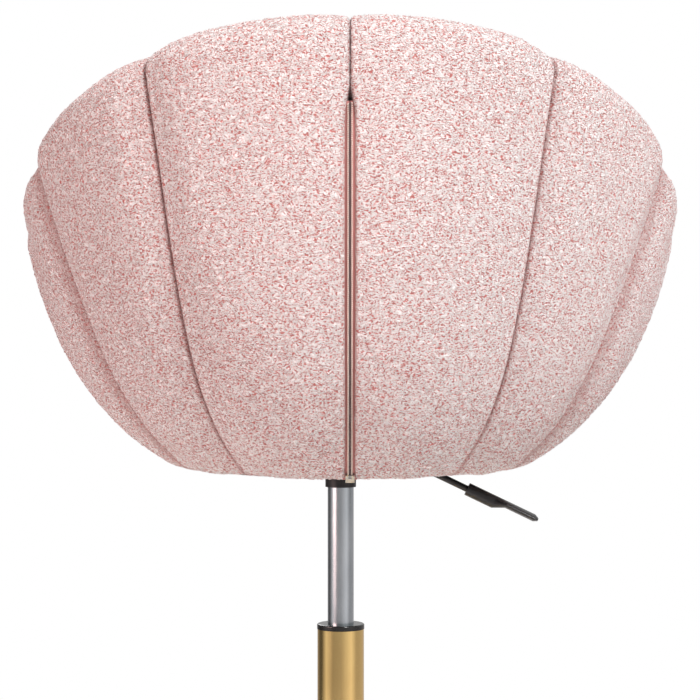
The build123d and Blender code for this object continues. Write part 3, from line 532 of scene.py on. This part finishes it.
# ================================================================ seat cushion
CUSHION_CLEAR = 4.5 * MM
CUSHION_FRONT_RADIUS = 262 * MM
CUSHION_CORNER = math.radians(3.5)
CUSHION_SLACK = 9 * MM
CUSHION_ROUND = 20 * MM
CUSHION_SEAM_HEIGHT, CUSHION_SEAM_REACH, CUSHION_SEAM_DEPTH = 118 * MM, 7 * MM, 3.5 * MM
CUSHION_CAP = 22 * MM
CLOTH_PRESSURE, CLOTH_FRAMES = 4.0, 20
VOXEL = 5.5 * MM


def cushion_reach(angle, height):
    """Radius of the space that the cushion may fill."""
    side = outer_radius(np.clip(height, SEAT_LEVEL, 112 * MM)) - WALL - CUSHION_CLEAR
    from_back = np.abs((angle + math.pi) % (2 * math.pi) - math.pi)
    out = smooth((from_back - math.radians(REST_END_ANGLE + 0.6)) / CUSHION_CORNER)
    return side + (CUSHION_FRONT_RADIUS - side) * out


def cushion_blank(material):
    """The cushion's cut shape before it is filled: slightly smaller than its space."""
    turns = np.linspace(0, 2 * math.pi, 120, endpoint=False)
    low, high = SEAT_LEVEL, CUSHION_TOP - SHELL_BOTTOM - CUSHION_SLACK
    turn = np.linspace(0, math.pi / 2, 6)
    curve = high - CUSHION_ROUND * (1 - np.sin(turn[1:]))
    levels = np.concatenate([[low, low], np.linspace(low + 4 * MM, high - CUSHION_ROUND, 6), curve])
    pulls = np.concatenate([[4 * MM, 1 * MM], np.zeros(6), CUSHION_ROUND * (1 - np.cos(turn[1:]))])
    slacks = 2 * MM + (CUSHION_SLACK - 2 * MM) * smooth((levels - low) / (24 * MM))
    rings = []
    for level, pull, slack in zip(levels, pulls, slacks):
        reach = cushion_reach(turns, level) - slack - pull
        rings.append(place(turns, np.stack([reach, np.full(len(turns), level)], axis=1)))
    rows = len(turns)
    points = np.concatenate(rings)
    faces = tube_faces(len(rings), rows)
    faces.append(list(reversed(range(rows))))
    faces.append([(len(rings) - 1) * rows + row for row in range(rows)])
    return add_mesh("seat_cushion_fabric", points, [face[::-1] for face in faces], material)


def apply_modifier(piece, modifier):
    """Applies one modifier of a piece."""
    bpy.context.view_layer.objects.active = piece
    with bpy.context.temp_override(object=piece, active_object=piece, selected_objects=[piece]):
        bpy.ops.object.modifier_apply(modifier=modifier.name)


def coordinates(mesh):
    """A mesh's vertices as an array."""
    points = np.empty(len(mesh.vertices) * 3, np.float32)
    mesh.vertices.foreach_get("co", points)
    return points.reshape(-1, 3).astype(float)


def set_coordinates(mesh, points):
    """Puts an array back as a mesh's vertices."""
    mesh.vertices.foreach_set("co", points.astype(np.float32).ravel())
    mesh.update()


def vertex_normals(mesh):
    """A mesh's vertex normals as an array."""
    values = np.empty(len(mesh.vertices) * 3, np.float32)
    mesh.vertex_normals.foreach_get("vector", values)
    return values.reshape(-1, 3).astype(float)


def fill_with_foam(piece):
    """Inflates a cut shape by cloth simulation and applies the result."""
    before = coordinates(piece.data)
    filling = piece.modifiers.new("filling", "CLOTH")
    filling.settings.quality = 4
    filling.settings.mass = 0.3
    filling.settings.tension_stiffness = 12
    filling.settings.bending_stiffness = 2
    filling.settings.use_pressure = True
    filling.settings.uniform_pressure_force = CLOTH_PRESSURE
    filling.settings.effector_weights.gravity = 0
    filling.point_cache.frame_start = 1
    filling.point_cache.frame_end = CLOTH_FRAMES
    scene = bpy.context.scene
    for number in range(1, CLOTH_FRAMES + 1):
        scene.frame_set(number)
    filled = piece.evaluated_get(bpy.context.evaluated_depsgraph_get())
    after = coordinates(filled.data)
    piece.modifiers.remove(filling)
    scene.frame_set(1)
    move = after - before
    far = np.linalg.norm(move, axis=1, keepdims=True)
    set_coordinates(piece.data, before + move * np.minimum(1, CUSHION_CAP / np.maximum(far, 1e-9)))


def keep_in_space(points):
    """Holds the cushion's points in the space between the board, the arms and the back."""
    x, y = points[:, 0] - SHELL_X, points[:, 1]
    radius = np.maximum(np.hypot(x, y), 1e-9)
    allowed = cushion_reach(np.arctan2(-x, y), points[:, 2] - SHELL_BOTTOM)
    scale = np.minimum(1, allowed / radius)
    held = points.copy()
    held[:, 0] = SHELL_X + x * scale
    held[:, 1] = y * scale
    held[:, 2] = np.maximum(points[:, 2], CUSHION_BOTTOM + SKIN_GAP)
    return held


def make_cushion(cloth):
    """The loose seat cushion: filled by simulation, then seamed and covered in pile."""
    piece = cushion_blank(cloth)
    remesh = piece.modifiers.new("even", "REMESH")
    remesh.mode = "VOXEL"
    remesh.voxel_size = VOXEL
    apply_modifier(piece, remesh)
    fill_with_foam(piece)
    set_coordinates(piece.data, keep_in_space(coordinates(piece.data)))
    finer = piece.modifiers.new("finer", "SUBSURF")
    finer.levels = 1
    apply_modifier(piece, finer)
    points = coordinates(piece.data)
    normal = vertex_normals(piece.data)
    height = points[:, 2] - SHELL_BOTTOM
    sideways = 1 - np.abs(normal[:, 2]) ** 4
    seam = rounded(np.abs(height - CUSHION_SEAM_HEIGHT), CUSHION_SEAM_DEPTH, CUSHION_SEAM_REACH) * sideways
    fluff = pile(points)
    above = smooth((height - SEAT_LEVEL - 3 * MM) / (8 * MM))
    rise = above * (CURL_HEIGHT * (fluff - 0.75) + LUMP_HEIGHT * waves(points, LUMP_SIZE, 31) - seam)
    set_coordinates(piece.data, keep_in_space(points + normal * rise[:, None]))
    piece.data.shade_smooth()
    store(piece, "fluff", fluff)
    declare_pad(piece, "seat_cushion")


# ================================================================ zipper
def on_zip(turn, across, height):
    """Points beside the zipper's arc: turn along it, across the chair and height above it."""
    reach = ZIP_RADIUS + height
    return np.stack(
        [
            SHELL_X + across + 0 * turn,
            ZIP_CENTRE_Y + reach * np.cos(turn),
            ZIP_CENTRE_Z + reach * np.sin(turn),
        ],
        axis=-1,
    )


TAPE_HALF, TAPE_EDGE = 7 * MM, 0.5 * MM
TOOTH_PITCH, TOOTH_RADIUS = 2.0 * MM, 0.62 * MM
COIL_HALF, COIL_TOP = 3.25 * MM, 2.9 * MM


def make_zip_tape(material):
    """Two woven tapes that meet under the teeth, each with a rounded edge."""
    turns = np.linspace(ZIP_START, ZIP_END, 140)
    turn_round = np.linspace(-math.pi / 2, math.pi / 2, 5)
    outer_x = TAPE_HALF - TAPE_TOP + TAPE_TOP * np.cos(turn_round)
    across = np.concatenate([np.linspace(TAPE_EDGE, TAPE_HALF - TAPE_TOP, 12), outer_x])
    across = np.concatenate([across, np.linspace(TAPE_HALF - TAPE_TOP, TAPE_EDGE, 12)])
    height = np.concatenate([np.full(12, -TAPE_TOP), TAPE_TOP * np.sin(turn_round), np.full(12, TAPE_TOP)])
    points, faces = [], []
    for side in (1, -1):
        half = on_zip(turns[:, None], side * across[None, :] + 0 * turns[:, None], height[None, :])
        offset = sum(len(p) for p in points)
        flat = closed_tube(half)
        if side > 0:
            flat = [face[::-1] for face in flat]
        faces += [[offset + index for index in face] for face in flat]
        points.append(half.reshape(-1, 3))
    piece = add_mesh("zip_tape_woven", np.concatenate(points), faces, material)
    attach(piece, "seat")
    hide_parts("zipper_chain")


def make_zip_teeth(tooth):
    """Two rows of interlocking teeth, half a pitch apart."""
    pitch = TOOTH_PITCH / ZIP_RADIUS
    starts = np.arange(ZIP_START + pitch, ZIP_END - pitch, pitch)
    path = np.linspace(0, 1, 7)
    around = np.linspace(0, 2 * math.pi, 8, endpoint=False)
    across = COIL_HALF - TOOTH_RADIUS - path * (COIL_HALF - TOOTH_RADIUS + 0.1 * MM)
    swell = COIL_TOP - TAPE_TOP - 2 * TOOTH_RADIUS
    crown = TAPE_TOP + TOOTH_RADIUS + swell * np.cos(0.45 * math.pi * path)
    slant = 0.35 * pitch * (path - 0.5)
    thick = TOOTH_RADIUS * np.array([0.6, 1.1, 1.15, 0.95, 0.7, 0.6, 0.4])
    points, faces = [], []
    for side in (1, -1):
        for start in starts + (pitch / 2 if side < 0 else 0):
            centre = on_zip(start + slant, side * across, crown)
            radial = np.array([0, math.cos(start), math.sin(start)])
            tangent = np.array([0, -math.sin(start), math.cos(start)])
            ring = np.cos(around)[:, None] * tangent + np.sin(around)[:, None] * radial
            tube = centre[:, None, :] + thick[:, None, None] * ring[None, :, :]
            offset = len(points) * tube.shape[0] * tube.shape[1]
            flat = closed_tube(tube)
            if side > 0:
                flat = [face[::-1] for face in flat]
            faces += [[offset + index for index in face] for face in flat]
            points.append(tube.reshape(-1, 3))
    piece = add_mesh("zip_teeth", np.concatenate(points), faces, tooth)
    store(piece, "inward", np.tile(np.repeat(path, len(around)), len(points)))
    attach(piece, "seat")
    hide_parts("zipper_chain")


# ================================================================ cloth cover under the seat
COVER_RADIUS = 163 * MM
STAPLES = 32


def make_dust_cover(material):
    """A thin cloth disc stapled under the tub."""
    radii = np.linspace(0, COVER_RADIUS, 34)[1:]
    turns = np.linspace(0, 2 * math.pi, 160, endpoint=False)
    level, thick = cover_low.z, cover_high.z - cover_low.z
    grid_r, grid_a = np.meshgrid(radii, turns, indexing="ij")
    pucker = 0.25 * MM * (np.sin(grid_a * STAPLES) * smooth((grid_r / COVER_RADIUS - 0.8) / 0.2))
    x, y = SHELL_X + grid_r * np.cos(grid_a), grid_r * np.sin(grid_a)
    low = np.stack([x, y, level + 0.3 * MM + pucker], axis=-1).reshape(-1, 3)
    high = np.stack([x, y, level + thick - 0.1 * MM + 0 * x], axis=-1).reshape(-1, 3)
    rows, count = len(turns), len(low)
    upward = tube_faces(len(radii), rows)
    faces = [face[::-1] for face in upward]
    faces += [[count + i for i in face] for face in upward]
    faces.append([i for i in reversed(range(rows))])
    faces.append([count + i for i in range(rows)])
    last = count - rows
    for i in range(rows):
        after = (i + 1) % rows
        faces.append([last + i, last + after, count + last + after, count + last + i])
    piece = add_mesh("dust_cloth", np.concatenate([low, high]), faces, material)
    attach(piece, "seat")
    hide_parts("dust_cover")


# ================================================================ materials
def new_material(name, colour, roughness, **values):
    """A material with one shader whose even numbers and colour stand on its own sockets."""
    material = bpy.data.materials.new(name)
    material.use_nodes = True
    shader = material.node_tree.nodes["Principled BSDF"]
    shader.inputs["Base Color"].default_value = (*colour, 1)
    shader.inputs["Roughness"].default_value = roughness
    for socket, value in values.items():
        shader.inputs[socket.replace("_", " ").title()].default_value = value
    return material, material.node_tree, shader


def add_node(tree, kind, inputs=(), **settings):
    """A node with its settings, and with each input set to a number or linked from a socket."""
    node = tree.nodes.new(kind)
    for key, value in settings.items():
        setattr(node, key, value)
    for socket, value in dict(inputs).items():
        if isinstance(value, bpy.types.NodeSocket):
            tree.links.new(value, node.inputs[socket])
        else:
            node.inputs[socket].default_value = value
    return node


def grain(tree, scale, stretch=(1, 1, 1), detail=3.0, warp=0.0):
    """Noise in the piece's own coordinates, stretched along its axes."""
    place_node = add_node(tree, "ShaderNodeTexCoord")
    mapped = add_node(tree, "ShaderNodeMapping", {"Vector": place_node.outputs["Object"], "Scale": stretch})
    return add_node(
        tree,
        "ShaderNodeTexNoise",
        {"Vector": mapped.outputs["Vector"], "Scale": scale, "Detail": detail, "Distortion": warp},
    )


def ramp(tree, factor, *stops):
    """A colour ramp from (place, colour) stops."""
    node = add_node(tree, "ShaderNodeValToRGB", {"Fac": factor})
    elements = node.color_ramp.elements
    while len(elements) < len(stops):
        elements.new(0.5)
    for element, (position, colour) in zip(elements, stops):
        element.position = position
        element.color = (*colour, 1)
    return node.outputs["Color"]


def math_node(tree, operation, a, b):
    """One sum of two numbers or sockets."""
    return add_node(tree, "ShaderNodeMath", {0: a, 1: b}, operation=operation).outputs[0]


def rough_between(tree, shader, factor, low, high):
    """Roughness that varies from low to high over the surface."""
    spread_node = add_node(tree, "ShaderNodeMapRange", {"Value": factor, "To Min": low, "To Max": high})
    tree.links.new(spread_node.outputs["Result"], shader.inputs["Roughness"])


def bump(tree, shader, height, distance, strength=1.0):
    """Small relief, of a height in metres."""
    node = add_node(tree, "ShaderNodeBump", {"Height": height, "Distance": distance, "Strength": strength})
    tree.links.new(node.outputs["Normal"], shader.inputs["Normal"])


# Painted colours of the pile: painted shade in the seams, painted shade in the crevices and a painted
# highlight on the curls' tops; the middle pink is the pile's own colour.
SEAM_SHADE, CREVICE_SHADE = (0.42, 0.12, 0.10), (0.58, 0.19, 0.17)
LOOP_SIDE, LOOP_TOP_HIGHLIGHT = (0.93, 0.71, 0.69), (0.98, 0.94, 0.93)


def boucle():
    """Pink curly pile: small pale loops with a painted highlight on their tops over thin, level crevices
    painted deep pink as shade, and painted shade darkening the seams.
    """
    material, tree, shader = new_material(
        "pink_boucle", LOOP_SIDE, 0.95, sheen_weight=0.05, sheen_roughness=0.5
    )
    shader.inputs["Specular IOR Level"].default_value = 0.2
    where = add_node(tree, "ShaderNodeTexCoord").outputs["Object"]
    bend = add_node(tree, "ShaderNodeTexNoise", {"Vector": where, "Scale": 150.0, "Detail": 2.0})
    push = add_node(
        tree,
        "ShaderNodeVectorMath",
        {0: bend.outputs["Color"], 1: (0.006, 0.006, 0.006)},
        operation="MULTIPLY",
    )
    bent = add_node(tree, "ShaderNodeVectorMath", {0: where, 1: push.outputs["Vector"]}, operation="ADD")
    flat = add_node(tree, "ShaderNodeMapping", {"Vector": bent.outputs["Vector"], "Scale": (1, 1, 1.9)})
    spot = flat.outputs["Vector"]
    streaks = add_node(
        tree, "ShaderNodeTexNoise", {"Vector": spot, "Scale": 420.0, "Detail": 2.0, "Roughness": 0.55}
    ).outputs["Fac"]
    broken = add_node(
        tree, "ShaderNodeMapRange", {"Value": streaks, "From Min": 0.34, "From Max": 0.66}
    ).outputs["Result"]
    loops = add_node(tree, "ShaderNodeTexVoronoi", {"Vector": spot, "Scale": 300.0}, feature="F1")
    small = add_node(tree, "ShaderNodeTexVoronoi", {"Vector": spot, "Scale": 700.0}, feature="F1")
    curl = add_node(tree, "ShaderNodeAttribute", attribute_name="fluff").outputs["Fac"]
    seam = add_node(tree, "ShaderNodeAttribute", attribute_name="seam").outputs["Fac"]
    round_loop = math_node(tree, "SUBTRACT", 1.0, loops.outputs["Distance"])
    round_small = math_node(tree, "SUBTRACT", 1.0, small.outputs["Distance"])
    height = math_node(tree, "MULTIPLY", broken, 0.50)
    height = math_node(tree, "ADD", height, math_node(tree, "MULTIPLY", round_small, 0.28))
    height = math_node(tree, "ADD", height, math_node(tree, "MULTIPLY", round_loop, 0.22))
    # The ramp paints shade and light: deep pink painted shade in the low crevices, from the shader's noise
    # and the mesh's pile height, and a near-white painted highlight on the loops' tops.
    from_loops = math_node(tree, "MULTIPLY", height, 0.95)
    from_curls = math_node(tree, "MULTIPLY", curl, 0.05)
    shade = math_node(tree, "ADD", from_loops, from_curls)
    pale = ramp(tree, shade, (0.30, CREVICE_SHADE), (0.41, LOOP_SIDE), (0.52, LOOP_TOP_HIGHLIGHT))
    # Painted shade in the seams: the seam value mixes the colour towards the dark seam shade colour.
    share = math_node(tree, "MULTIPLY", seam, 0.85)
    colour = add_node(tree, "ShaderNodeMix", data_type="RGBA")
    tree.links.new(share, colour.inputs[0])
    tree.links.new(pale, colour.inputs[6])
    colour.inputs[7].default_value = (*SEAM_SHADE, 1)
    tree.links.new(colour.outputs[2], shader.inputs["Base Color"])
    bump(tree, shader, height, 0.005)
    return material


def polished_gold():
    """Brass-plated steel tube with faint drawn lines and fingerprints."""
    material, tree, shader = new_material("polished_gold", (0.88, 0.64, 0.26), 0.14, metallic=1.0)
    lines = grain(tree, 420.0, (1, 1, 0.02), 4.0)
    smears = grain(tree, 22.0, (1, 1, 0.5), 3.0, 0.6)
    mixed = math_node(tree, "MULTIPLY", lines.outputs["Fac"], smears.outputs["Fac"])
    rough_between(tree, shader, mixed, 0.08, 0.30)
    colour = ramp(tree, smears.outputs["Fac"], (0.3, (0.85, 0.60, 0.24)), (0.7, (0.92, 0.68, 0.28)))
    tree.links.new(colour, shader.inputs["Base Color"])
    bump(tree, shader, lines.outputs["Fac"], 0.00003)
    return material


def ground_chrome():
    """The lift tube: ground and chromed, with fine rings round it and a thin film of oil."""
    material, tree, shader = new_material("ground_chrome", (0.50, 0.55, 0.58), 0.22, metallic=1.0)
    rings = grain(tree, 600.0, (0.03, 0.03, 1), 3.0)
    film = grain(tree, 30.0, (1, 1, 0.3), 3.0, 0.4)
    rough_between(tree, shader, film.outputs["Fac"], 0.14, 0.34)
    colour = ramp(tree, film.outputs["Fac"], (0.3, (0.44, 0.49, 0.52)), (0.7, (0.56, 0.61, 0.64)))
    tree.links.new(colour, shader.inputs["Base Color"])
    bump(tree, shader, rings.outputs["Fac"], 0.00002)
    return material


def plain_steel():
    """Zinc-plated steel, mottled."""
    material, tree, shader = new_material("zinc_steel", (0.52, 0.52, 0.50), 0.35, metallic=1.0)
    mottle = grain(tree, 90.0, (1, 1, 1), 5.0, 0.5)
    rough_between(tree, shader, mottle.outputs["Fac"], 0.25, 0.5)
    colour = ramp(tree, mottle.outputs["Fac"], (0.35, (0.42, 0.42, 0.40)), (0.65, (0.60, 0.60, 0.57)))
    tree.links.new(colour, shader.inputs["Base Color"])
    bump(tree, shader, mottle.outputs["Fac"], 0.00005)
    return material


def zip_metal():
    """Zipper teeth: light outside, with painted shade and grey specks darkening them where the two rows
    meet.
    """
    material, tree, shader = new_material("zip_metal", (0.55, 0.49, 0.43), 0.4, metallic=0.7)
    inward = add_node(tree, "ShaderNodeAttribute", attribute_name="inward").outputs["Fac"]
    specks = grain(tree, 900.0, (1, 1, 1), 3.0)
    # Painted shade: the colour darkens inward towards where the two rows meet, with random specks on top.
    meeting_shade_and_specks = math_node(tree, "ADD", inward, math_node(tree, "MULTIPLY", specks.outputs["Fac"], 0.3))
    outer_colour, half_shade, deepest_shade = (0.84, 0.76, 0.66), (0.42, 0.39, 0.36), (0.14, 0.14, 0.145)
    colour = ramp(tree, meeting_shade_and_specks, (0.35, outer_colour), (0.7, half_shade), (0.95, deepest_shade))
    tree.links.new(colour, shader.inputs["Base Color"])
    rough_between(tree, shader, meeting_shade_and_specks, 0.3, 0.7)
    bump(tree, shader, specks.outputs["Fac"], 0.00005)
    return material


def black_steel():
    """Black powder coat with an orange-peel skin, rubbed a little along its length."""
    material, tree, shader = new_material("black_powder_coat", (0.012, 0.012, 0.013), 0.42)
    peel = grain(tree, 900.0, (1, 1, 1), 2.0)
    rubs = grain(tree, 35.0, (1, 1, 1), 4.0, 0.8)
    rough_between(tree, shader, rubs.outputs["Fac"], 0.32, 0.55)
    colour = ramp(tree, rubs.outputs["Fac"], (0.4, (0.008, 0.008, 0.009)), (0.75, (0.020, 0.020, 0.021)))
    tree.links.new(colour, shader.inputs["Base Color"])
    bump(tree, shader, peel.outputs["Fac"], 0.00008)
    return material


def moulded_plastic(name, dark, light, low, high, texture_scale, relief):
    """Moulded plastic with a spark-eroded texture and uneven gloss."""
    material, tree, shader = new_material(name, dark, (low + high) / 2)
    skin = grain(tree, texture_scale, (1, 1, 1), 3.0)
    gloss = grain(tree, 26.0, (1, 1, 1), 3.0, 0.5)
    rough_between(tree, shader, gloss.outputs["Fac"], low, high)
    colour = ramp(tree, gloss.outputs["Fac"], (0.35, dark), (0.7, light))
    tree.links.new(colour, shader.inputs["Base Color"])
    bump(tree, shader, skin.outputs["Fac"], relief)
    return material


def plywood():
    """Birch plywood: long grain on its faces and darker glue lines round its edge."""
    material, tree, shader = new_material("birch_plywood", (0.62, 0.45, 0.28), 0.6)
    fibres = grain(tree, 60.0, (0.06, 1, 1), 6.0, 1.2)
    where = add_node(tree, "ShaderNodeTexCoord").outputs["Object"]
    plies = add_node(
        tree, "ShaderNodeTexWave", {"Vector": where, "Scale": 110.0, "Distortion": 0.6}, bands_direction="Z"
    )
    blend_factor = math_node(
        tree, "ADD", math_node(tree, "MULTIPLY", fibres.outputs["Fac"], 0.7),
        math_node(tree, "MULTIPLY", plies.outputs["Fac"], 0.3),
    )
    dark, middle, light = (0.36, 0.22, 0.11), (0.62, 0.44, 0.26), (0.74, 0.58, 0.38)
    colour = ramp(tree, blend_factor, (0.3, dark), (0.5, middle), (0.75, light))
    tree.links.new(colour, shader.inputs["Base Color"])
    bump(tree, shader, fibres.outputs["Fac"], 0.0003)
    return material


def woven(name, dark, light, thread):
    """Plain weave: threads of one width crossing over and under."""
    material, tree, shader = new_material(name, light, 0.85, sheen_weight=0.2, sheen_roughness=0.4)
    where = add_node(tree, "ShaderNodeTexCoord").outputs["Object"]
    per_thread = math.pi / thread / 20
    wave = {"Vector": where, "Scale": per_thread, "Distortion": 0.4}
    warp = add_node(tree, "ShaderNodeTexWave", wave, bands_direction="X")
    weft = add_node(tree, "ShaderNodeTexWave", wave, bands_direction="DIAGONAL")
    crossing = math_node(tree, "MULTIPLY", warp.outputs["Fac"], weft.outputs["Fac"])
    fuzz = grain(tree, 1500.0, (1, 1, 1), 3.0)
    height = math_node(tree, "ADD", crossing, math_node(tree, "MULTIPLY", fuzz.outputs["Fac"], 0.4))
    tree.links.new(ramp(tree, height, (0.15, dark), (0.8, light)), shader.inputs["Base Color"])
    bump(tree, shader, height, thread * 0.6)
    return material


def stop_rubber():
    """Rubber with a bloom of fine dust."""
    return moulded_plastic("stop_rubber", (0.02, 0.02, 0.02), (0.06, 0.06, 0.058), 0.6, 0.85, 700.0, 0.0001)


def finish_cad_nodes():
    """Gives every CAD node that stays in view its finish, by its slot in the record."""
    finishes = {
        "gold": polished_gold(),
        "tube_steel": ground_chrome(),
        "plain_steel": plain_steel(),
        "black_steel": black_steel(),
        "black_plastic": moulded_plastic(
            "gloss_black_plastic", (0.008, 0.008, 0.008), (0.014, 0.014, 0.014), 0.12, 0.26, 500.0, 0.00003
        ),
        "grip_plastic": moulded_plastic(
            "grip_plastic", (0.010, 0.010, 0.011), (0.018, 0.018, 0.019), 0.30, 0.45, 900.0, 0.0001
        ),
        "wheel_nylon": moulded_plastic(
            "wheel_nylon", (0.018, 0.018, 0.019), (0.035, 0.035, 0.036), 0.35, 0.6, 400.0, 0.0001
        ),
        "moulded_shell": moulded_plastic(
            "moulded_shell", (0.10, 0.10, 0.10), (0.15, 0.15, 0.15), 0.4, 0.6, 300.0, 0.0002
        ),
        "plywood": plywood(),
        "stop_rubber": stop_rubber(),
        "piston_metal": plain_steel(),
    }
    for part in frame["record"]["subparts"]:
        finish = finishes.get(part["material_slot"])
        if finish is not None:
            for place_slot in frame["nodes"][part["node"]].material_slots:
                place_slot.material = finish


# ================================================================ floor, lights and camera
CAMERA_REACH = 2.6
CAMERA_HEIGHT = 0.654
LENS, SENSOR = 124.4, 36.0
IMAGE_SHIFT = -0.1


def make_floor():
    """A large pale floor that fades into the white background far away."""
    turns = np.linspace(0, 2 * math.pi, 96, endpoint=False)
    radii = [0.0, 0.25, 0.5, 0.75, 1, 1.25]
    level = -0.0005
    points = [
        (radius * math.cos(turn), radius * math.sin(turn), level) for radius in radii[1:] for turn in turns
    ]
    rows = len(turns)
    faces = tube_faces(len(radii) - 1, rows) + [list(range(rows))]
    material, tree, shader = new_material("pale_floor", (0.9, 0.9, 0.9), 0.6)
    where = add_node(tree, "ShaderNodeTexCoord").outputs["Object"]
    far = add_node(tree, "ShaderNodeVectorMath", {0: where}, operation="LENGTH").outputs["Value"]
    share = add_node(
        tree,
        "ShaderNodeMapRange",
        {"Value": far, "From Min": 0.45, "From Max": 1.15},
        interpolation_type="SMOOTHSTEP",
    )
    clear = add_node(tree, "ShaderNodeBsdfTransparent")
    mix = add_node(
        tree,
        "ShaderNodeMixShader",
        {0: share.outputs["Result"], 1: shader.outputs["BSDF"], 2: clear.outputs["BSDF"]},
    )
    tree.links.new(mix.outputs["Shader"], tree.nodes["Material Output"].inputs["Surface"])
    add_mesh("studio_floor", points, faces, material)


def area_light(name, place_at, aim_at, size, power, colour=(1, 1, 1)):
    """A soft square light aimed at a point."""
    data = bpy.data.lights.new(name, "AREA")
    data.size = size
    data.energy = power
    data.color = colour
    lamp = bpy.data.objects.new(name, data)
    lamp.location = place_at
    lamp.rotation_euler = (Vector(aim_at) - Vector(place_at)).to_track_quat("-Z", "Y").to_euler()
    bpy.context.scene.collection.objects.link(lamp)


def light_studio():
    """White to the camera; to the chair, a soft room with light and dark walls."""
    scene = bpy.context.scene
    scene.view_settings.view_transform = "Standard"
    world = bpy.data.worlds.new("studio")
    scene.world = world
    world.use_nodes = True
    tree = world.node_tree
    tree.nodes.clear()
    ray = add_node(tree, "ShaderNodeTexCoord").outputs["Generated"]
    height = add_node(tree, "ShaderNodeSeparateXYZ", {"Vector": ray}).outputs["Z"]
    rise = math_node(tree, "ADD", math_node(tree, "MULTIPLY", height, 0.5), 0.5)
    below, skirt = (0.90, 0.66, 0.63), (0.40, 0.37, 0.37)
    level, above = (0.42, 0.42, 0.42), (0.78, 0.78, 0.78)
    sky = ramp(tree, rise, (0.15, below), (0.42, skirt), (0.55, level), (0.85, above))
    compass = add_node(tree, "ShaderNodeTexGradient", {"Vector": ray}, gradient_type="RADIAL").outputs["Fac"]
    stretches = [
        (0.02, 0.45), (0.25, 0.6), (0.40, 0.10), (0.46, 0.10), (0.54, 0.75),
        (0.64, 0.32), (0.76, 0.42), (0.90, 0.9), (0.98, 0.45),
    ]
    walls = ramp(tree, compass, *[(place_at, (grey,) * 3) for place_at, grey in stretches])
    product = add_node(tree, "ShaderNodeVectorMath", {0: sky, 1: walls}, operation="MULTIPLY")
    shaded = product.outputs["Vector"]
    room = add_node(tree, "ShaderNodeBackground", {"Color": shaded, "Strength": 2.5})
    white = add_node(tree, "ShaderNodeBackground", {"Color": (1, 1, 1, 1), "Strength": 1.0})
    seen = add_node(tree, "ShaderNodeLightPath").outputs["Is Camera Ray"]
    mix = add_node(
        tree,
        "ShaderNodeMixShader",
        {0: seen, 1: room.outputs["Background"], 2: white.outputs["Background"]},
    )
    output = add_node(tree, "ShaderNodeOutputWorld")
    tree.links.new(mix.outputs["Shader"], output.inputs["Surface"])
    middle = (SHELL_X, 0.1, 0.65)
    area_light("key", (-1.4, 2.3, 2.6), middle, 0.9, 96)
    area_light("fill", (2.6, 1.8, 1.0), middle, 1.6, 54, (1, 0.68, 0.64))
    area_light("front", (0.8, -2.6, 2.0), (SHELL_X, 0, 0.6), 1.4, 40)


def place_camera():
    """Level camera behind the chair, at the height of the tub's middle."""
    data = bpy.data.cameras.new("camera")
    data.sensor_width = SENSOR
    data.lens = LENS
    data.shift_y = IMAGE_SHIFT
    camera = bpy.data.objects.new("camera", data)
    camera.location = (SHELL_X, CAMERA_REACH, CAMERA_HEIGHT)
    camera.rotation_euler = (math.pi / 2, 0, math.pi)
    bpy.context.scene.collection.objects.link(camera)
    bpy.context.scene.camera = camera


# ================================================================ the whole scene
cloth = boucle()
for hand in ("right", "left"):
    for number in range(1, len(SEAM_ANGLES)):
        make_channel(hand, number, cloth)
make_front_pad(cloth)
make_cushion(cloth)
make_zip_tape(woven("zip_tape_cloth", (0.36, 0.13, 0.12), (0.60, 0.27, 0.25), 0.0007))
make_zip_teeth(zip_metal())
make_dust_cover(woven("black_nonwoven", (0.006, 0.006, 0.006), (0.03, 0.03, 0.03), 0.0009))
finish_cad_nodes()
make_floor()
light_studio()
place_camera()
